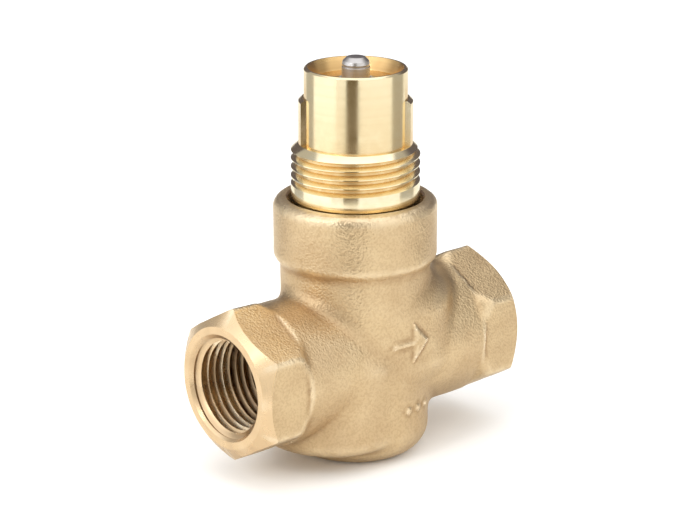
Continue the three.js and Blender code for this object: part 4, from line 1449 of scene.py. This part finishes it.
@dataclass
class StemAndPlug:
    """The moving stem with its clip, spring retainer, plug, disc, washer and nut."""

    pipe_height: float = 21.0
    radius: float = 2.85
    tip_radius: float = 2.1
    top: float = 62.3
    end_radius: float = 2.0
    end: float = 5.0
    shoulder: float = 15.0
    clip_top: float = 39.1
    retainer_top: float = 38.1
    disc_bottom: float = 9.6
    disc_radius: float = 7.4
    disc_height: float = 2.4
    plug_bottom: float = 10.2
    plug_radius: float = 8.4
    nut_flats: float = 7.0
    nut_bottom: float = 5.8
    seat_radius: float = 5.5
    seat_outer: float = 7.6
    seat_span: tuple[float, float] = (2.2, 6.5)

    def rod(self) -> Outline:
        """Returns the stem's section, with ring lines round its tip."""
        round_foot = self.top - 1.5
        line = self.radius - 0.16
        groove_top, groove_low = self.clip_top + 0.1, self.clip_top - 0.9
        return rounded([
            (0.0, self.end, 0.0), (self.end_radius, self.end, 0.3),
            (self.end_radius, self.shoulder, 0.15),
            (self.radius, self.shoulder, 0.2), (self.radius, groove_low, 0.08),
            (self.radius - 0.6, groove_low, 0.05),
            (self.radius - 0.6, groove_top, 0.05), (self.radius, groove_top, 0.08),
            (self.radius, round_foot - 0.5, 0.1), (line, round_foot - 0.42, 0.06),
            (line, round_foot - 0.08, 0.06),
            (self.radius, round_foot, 0.1), (self.radius - 0.2, round_foot + 0.7, 0.6),
            (self.tip_radius - 0.22, self.top - 0.06, 0.1),
            (self.tip_radius - 0.36, self.top, 0.05),
            (0.0, self.top, 0.0),
        ])

    def plug(self) -> Outline:
        """Returns the plug's section, hollow below for the disc."""
        roof, high = self.disc_bottom + self.disc_height + 0.2, self.plug_bottom + 5.0
        hub = high + 1.6
        return rounded([
            (self.end_radius + 0.2, roof, 0.1), (self.disc_radius + 0.2, roof, 0.1),
            (self.disc_radius + 0.2, self.plug_bottom, 0.12),
            (self.plug_radius, self.plug_bottom, 0.2),
            (self.plug_radius, high, 0.7), (4.6, high, 0.5), (4.6, hub, 0.3),
            (self.radius + 0.2, hub, 0.15), (self.radius + 0.2, self.shoulder - 0.2, 0.1),
            (self.end_radius + 0.2, self.shoulder - 0.2, 0.1),
        ])

    def nut(self) -> bpy.types.Object:
        """Returns the hexagon nut under the disc, with both faces chamfered."""
        low, high = self.nut_bottom, self.nut_bottom + 2.6
        corner = self.nut_flats / math.sqrt(3.0)
        made = make_object(
            "disc_nut_hexagon", hexagon_prism(self.nut_flats, low, high).moved(z=self.pipe_height)
        )
        drum = turned_shape([
            (0.0, low - 0.01), (corner - 0.45, low - 0.01), (corner + 0.05, low + 0.35),
            (corner + 0.05, high - 0.35), (corner - 0.45, high + 0.01), (0.0, high + 0.01),
        ], 96)
        bore = turned_shape([
            (0.0, low - 1.0), (self.end_radius + 0.9, low - 0.5),
            (self.end_radius + 0.12, low + 0.35),
            (self.end_radius + 0.12, high - 0.35), (self.end_radius + 0.9, high + 0.5),
            (0.0, high + 1.0),
        ], 64)
        combine(made, [make_object("nut_drum", drum.moved(z=self.pipe_height))], "INTERSECT")
        combine(made, [make_object("nut_bore", bore.moved(z=self.pipe_height))], "DIFFERENCE")
        return made

    def build(self, effects: Effects) -> list[bpy.types.Object]:
        """Makes the moving pieces and the fixed seat ring they meet, and returns them."""
        lift = self.pipe_height
        stem = make_object("stem_rod", turned_shape(self.rod(), 112).moved(z=lift))
        root = self.end_radius - 0.38
        thread = Thread(
            self.end_radius, root, 0.7, self.end + 0.4, 4.4, tip_flat=0.08, clearance=0.1, steps=48
        )
        combine(stem, [make_object("stem_thread", thread.cutter().moved(z=lift))], "DIFFERENCE")
        bore = self.radius + 0.08
        low = self.retainer_top - 1.4
        retainer = rounded(
            [(bore, low, 0.15), (7.6, low, 0.2), (7.6, low + 1.4, 0.2), (bore, low + 1.4, 0.15)]
        )
        clip = part_ring(rounded([
            (self.radius - 0.55, self.clip_top - 0.8, 0.1),
            (self.radius + 1.5, self.clip_top - 0.8, 0.15),
            (self.radius + 1.5, self.clip_top, 0.15), (self.radius - 0.55, self.clip_top, 0.1),
        ]), 60.0)
        hole = self.end_radius + 0.2
        roof = self.disc_bottom + self.disc_height
        disc = rounded([
            (hole, self.disc_bottom, 0.2), (self.disc_radius, self.disc_bottom, 0.3),
            (self.disc_radius, roof, 0.2), (hole, roof, 0.1),
        ])
        washer_low = self.disc_bottom - 1.0
        washer = rounded(
            [
                (hole, washer_low, 0.1),
                (4.9, washer_low, 0.15),
                (4.9, washer_low + 0.8, 0.15),
                (hole, washer_low + 0.8, 0.1),
            ]
        )
        made = [
            self.moving(stem, "stem", Slot.BRIGHT_STEEL, STEEL, effects),
            self.moving(
                make_object("stem_clip_steel", clip.moved(z=lift)),
                "stem_clip",
                Slot.SPRING_STEEL,
                STEEL,
                effects,
            ),
            self.turned(
                "spring_retainer_washer",
                retainer,
                "spring_retainer",
                Slot.SPRING_STEEL,
                STEEL,
                effects,
            ),
            self.turned("plug_turned", self.plug(), "plug", Slot.TURNED_BRASS, GLAND, effects),
            self.turned("seat_disc_rubber", disc, "seat_disc", Slot.SEAL_RUBBER, RUBBER, effects),
            self.turned(
                "disc_washer_steel", washer, "disc_washer", Slot.BRIGHT_STEEL, STEEL, effects
            ),
            self.moving(self.nut(), "disc_nut", Slot.BRIGHT_STEEL, STEEL, effects),
        ]
        seat_low, seat_top = self.seat_span
        seat = rounded([
            (self.seat_radius, seat_low, 0.1), (self.seat_outer, seat_low, 0.2),
            (self.seat_outer, seat_top, 0.3),
            (self.seat_radius + 0.6, seat_top, 0.12), (self.seat_radius, seat_top - 0.6, 0.1),
        ])
        ring = make_object("seat_ring_turned", turned_shape(seat, 128).moved(z=lift))
        made.append(place(ring, "seat_ring", Body.HOUSING, Slot.BRIGHT_STEEL, (STEEL,), effects))
        return made

    def moving(
        self, piece: bpy.types.Object, node: str, slot: Slot, finish: Finish, effects: Effects
    ) -> bpy.types.Object:
        """Returns a piece dressed and riding on the stem."""
        return place(piece, node, Body.STEM, slot, (finish,), effects)

    def turned(
        self, name: str, outline: Outline, node: str, slot: Slot, finish: Finish, effects: Effects
    ) -> bpy.types.Object:
        """Returns a turned piece riding on the stem."""
        return self.moving(
            make_object(name, turned_shape(outline, 112).moved(z=self.pipe_height)),
            node,
            slot,
            finish,
            effects,
        )


# ---- Studio ---------------------------------------------------------------------------------


@dataclass(frozen=True)
class Card:
    """A curved white or grey card round the object, seen only in reflections.

    Attributes:
        start: Bearing of its left edge from the camera, in degrees to the right.
        end: Bearing of its right edge.
        strength: Brightness.
        colour: Colour of its light.
    """

    start: float
    end: float
    strength: float
    colour: tuple[float, float, float, float]


@dataclass(frozen=True)
class Lamp:
    """A soft square lamp.

    Attributes:
        name: Name of the lamp.
        bearing: Degrees to the right of the camera.
        distance: Metres out from the valve.
        height: Metres above the floor.
        size: Side of the lamp in metres.
        power: Power in watts.
    """

    name: str
    bearing: float
    distance: float
    height: float
    size: float
    power: float


@dataclass
class Studio:
    """A pale floor, soft light from cards and lamps, and the camera."""

    azimuth: float = -41.4
    elevation: float = 17.8
    distance: float = 0.4758
    target_side: float = -0.00105
    target_height: float = 0.04018
    roll: float = 0.0031
    lens: float = 118.93
    room_reflection: tuple[float, float, float, float] = (0.13, 0.11, 0.115, 1.0)
    ceiling_reflection: tuple[float, float, float, float] = (0.74, 0.71, 0.66, 1.0)
    floor_reflection: tuple[float, float, float, float] = (0.78, 0.75, 0.69, 1.0)
    floor_half_width: float = 6000.0
    floor_thickness: float = 12.0
    floor_drop: float = 0.02
    aim_height: float = 0.035
    card_radius: float = 0.17
    card_height: float = 0.26
    cards: tuple[Card, ...] = (
        Card(-41.0, -20.0, 1.0, (1.0, 0.97, 0.9, 1.0)),
        Card(-136.0, -102.0, 0.5, (1.0, 0.97, 0.92, 1.0)),
        Card(-102.0, -44.0, 1.25, (1.0, 0.99, 0.96, 1.0)),
        Card(-20.0, 6.0, 0.16, (1.0, 0.74, 0.42, 1.0)),
        Card(5.0, 84.0, 1.08, (1.0, 0.97, 0.91, 1.0)),
        Card(84.0, 124.0, 0.46, (1.0, 0.94, 0.84, 1.0)),
    )
    lamps: tuple[Lamp, ...] = (
        Lamp("left_lamp", -50.0, 0.66, 0.42, 0.35, 2.15),
        Lamp("right_lamp", 55.0, 0.6, 0.5, 0.3, 0.7),
        Lamp("top_lamp", 0.0, 0.05, 0.8, 1.1, 2.5),
    )

    def toward_camera(self) -> Vector:
        """Returns the direction from the object to the camera."""
        a, e = math.radians(self.azimuth), math.radians(self.elevation)
        return Vector((math.sin(a) * math.cos(e), -math.cos(a) * math.cos(e), math.sin(e)))

    def camera(self) -> None:
        """Sets the camera up."""
        data = bpy.data.cameras.new("studio_camera")
        data.lens = self.lens
        data.clip_start, data.clip_end = 0.01, 20.0
        made = bpy.data.objects.new("studio_camera", data)
        bpy.context.scene.collection.objects.link(made)
        back = self.toward_camera()
        a = math.radians(-self.azimuth)
        right = Vector((math.cos(a), -math.sin(a), 0.0))
        target = right * self.target_side + Vector((0.0, 0.0, self.target_height))
        made.location = target + back * self.distance
        made.rotation_mode = "QUATERNION"
        tilt = Quaternion((0.0, 0.0, 1.0), self.roll)
        made.rotation_quaternion = (-back).to_track_quat("-Z", "Y") @ tilt
        bpy.context.scene.camera = made

    def floor(self) -> None:
        """Lays the pale floor."""
        half = self.floor_half_width
        shape = block((-half, -half, -self.floor_thickness), (half, half, -self.floor_drop))
        made = make_object("studio_floor", shape)
        material = bpy.data.materials.new("pale_floor")
        material.use_nodes = True
        tree = Tree(material.node_tree)
        shader = material.node_tree.nodes["Principled BSDF"]
        clouds = tree.ramp(tree.noise(tree.place(), 40.0, 3.0), 0.2, 0.8)
        pale = tree.blend(clouds, paint(255, 255, 254), paint(252, 252, 251))
        gloss = tree.node("ShaderNodeLightPath").outputs["Is Glossy Ray"]
        tree.feed(tree.blend(gloss, pale, self.floor_reflection), shader.inputs["Base Color"])
        shader.inputs["Roughness"].default_value = 1.0
        shader.inputs["Specular IOR Level"].default_value = 0.0
        made.data.materials.clear()
        made.data.materials.append(material)

    def card(self, number: int, card: Card) -> None:
        """Stands one card up round the object."""
        bearing = math.radians(self.azimuth - 90.0)
        count = 24
        corners = []
        for k in range(count + 1):
            turn = bearing + math.radians(card.start + (card.end - card.start) * k / count)
            for height in (0.0, self.card_height):
                corners.append(
                    (math.cos(turn) * self.card_radius, math.sin(turn) * self.card_radius, height)
                )
        faces = [(2 * k, 2 * k + 2, 2 * k + 3, 2 * k + 1) for k in range(count)]
        mesh = bpy.data.meshes.new(f"soft_card_{number}")
        mesh.from_pydata(corners, [], faces)
        made = bpy.data.objects.new(mesh.name, mesh)
        bpy.context.scene.collection.objects.link(made)
        material = bpy.data.materials.new(mesh.name)
        material.use_nodes = True
        tree = Tree(material.node_tree)
        glow = tree.node("ShaderNodeEmission")
        glow.inputs["Color"].default_value = card.colour
        glow.inputs["Strength"].default_value = card.strength
        tree.feed(glow.outputs[0], material.node_tree.nodes["Material Output"].inputs["Surface"])
        mesh.materials.append(material)
        made.visible_camera = made.visible_shadow = made.visible_diffuse = False

    def lamp(self, lamp: Lamp) -> None:
        """Hangs a soft lamp aimed at the valve."""
        data = bpy.data.lights.new(lamp.name, "AREA")
        data.size = lamp.size
        data.energy = lamp.power
        turn = math.radians(self.azimuth - 90.0 + lamp.bearing)
        made = bpy.data.objects.new(lamp.name, data)
        out = lamp.distance
        made.location = (math.cos(turn) * out, math.sin(turn) * out, lamp.height)
        aim = Vector((0.0, 0.0, self.aim_height)) - Vector(made.location)
        made.rotation_mode = "QUATERNION"
        made.rotation_quaternion = aim.to_track_quat("-Z", "Y")
        made.visible_glossy = True
        bpy.context.scene.collection.objects.link(made)

    def world(self) -> None:
        """Fills the room with pale light, greyer in reflections than to the eye."""
        world = bpy.data.worlds.new("pale_room")
        world.use_nodes = True
        tree = Tree(world.node_tree)
        back = world.node_tree.nodes["Background"]
        split = tree.node("ShaderNodeSeparateXYZ")
        tree.feed(tree.node("ShaderNodeTexCoord").outputs["Generated"], split.inputs[0])
        overhead = tree.ramp(split.outputs[2], 0.42, 0.82)
        reflected = tree.blend(overhead, self.room_reflection, self.ceiling_reflection)
        gloss = tree.node("ShaderNodeLightPath").outputs["Is Glossy Ray"]
        tree.feed(tree.blend(gloss, (1.0, 1.0, 1.0, 1.0), reflected), back.inputs["Color"])
        bpy.context.scene.world = world

    def build(self) -> None:
        """Sets up floor, cards, lamps, room and camera."""
        self.world()
        self.floor()
        for number, card in enumerate(self.cards):
            self.card(number, card)
        for lamp in self.lamps:
            self.lamp(lamp)
        self.camera()
        bpy.context.scene.view_settings.view_transform = "Standard"
        LOG.info("studio: floor, %d cards and %d lamps", len(self.cards), len(self.lamps))


def main() -> None:
    """Builds every sub-assembly in order and reports each piece."""
    logging.basicConfig(level=logging.INFO, format="%(name)s: %(message)s")
    effects = Effects()
    BodyCasting(Casting()).build(effects)
    Bonnet().build(effects)
    StemPacking().build(effects)
    ReturnSpring().build(effects)
    StemAndPlug().build(effects)
    Studio().build()


if __name__ == "__main__":
    main()
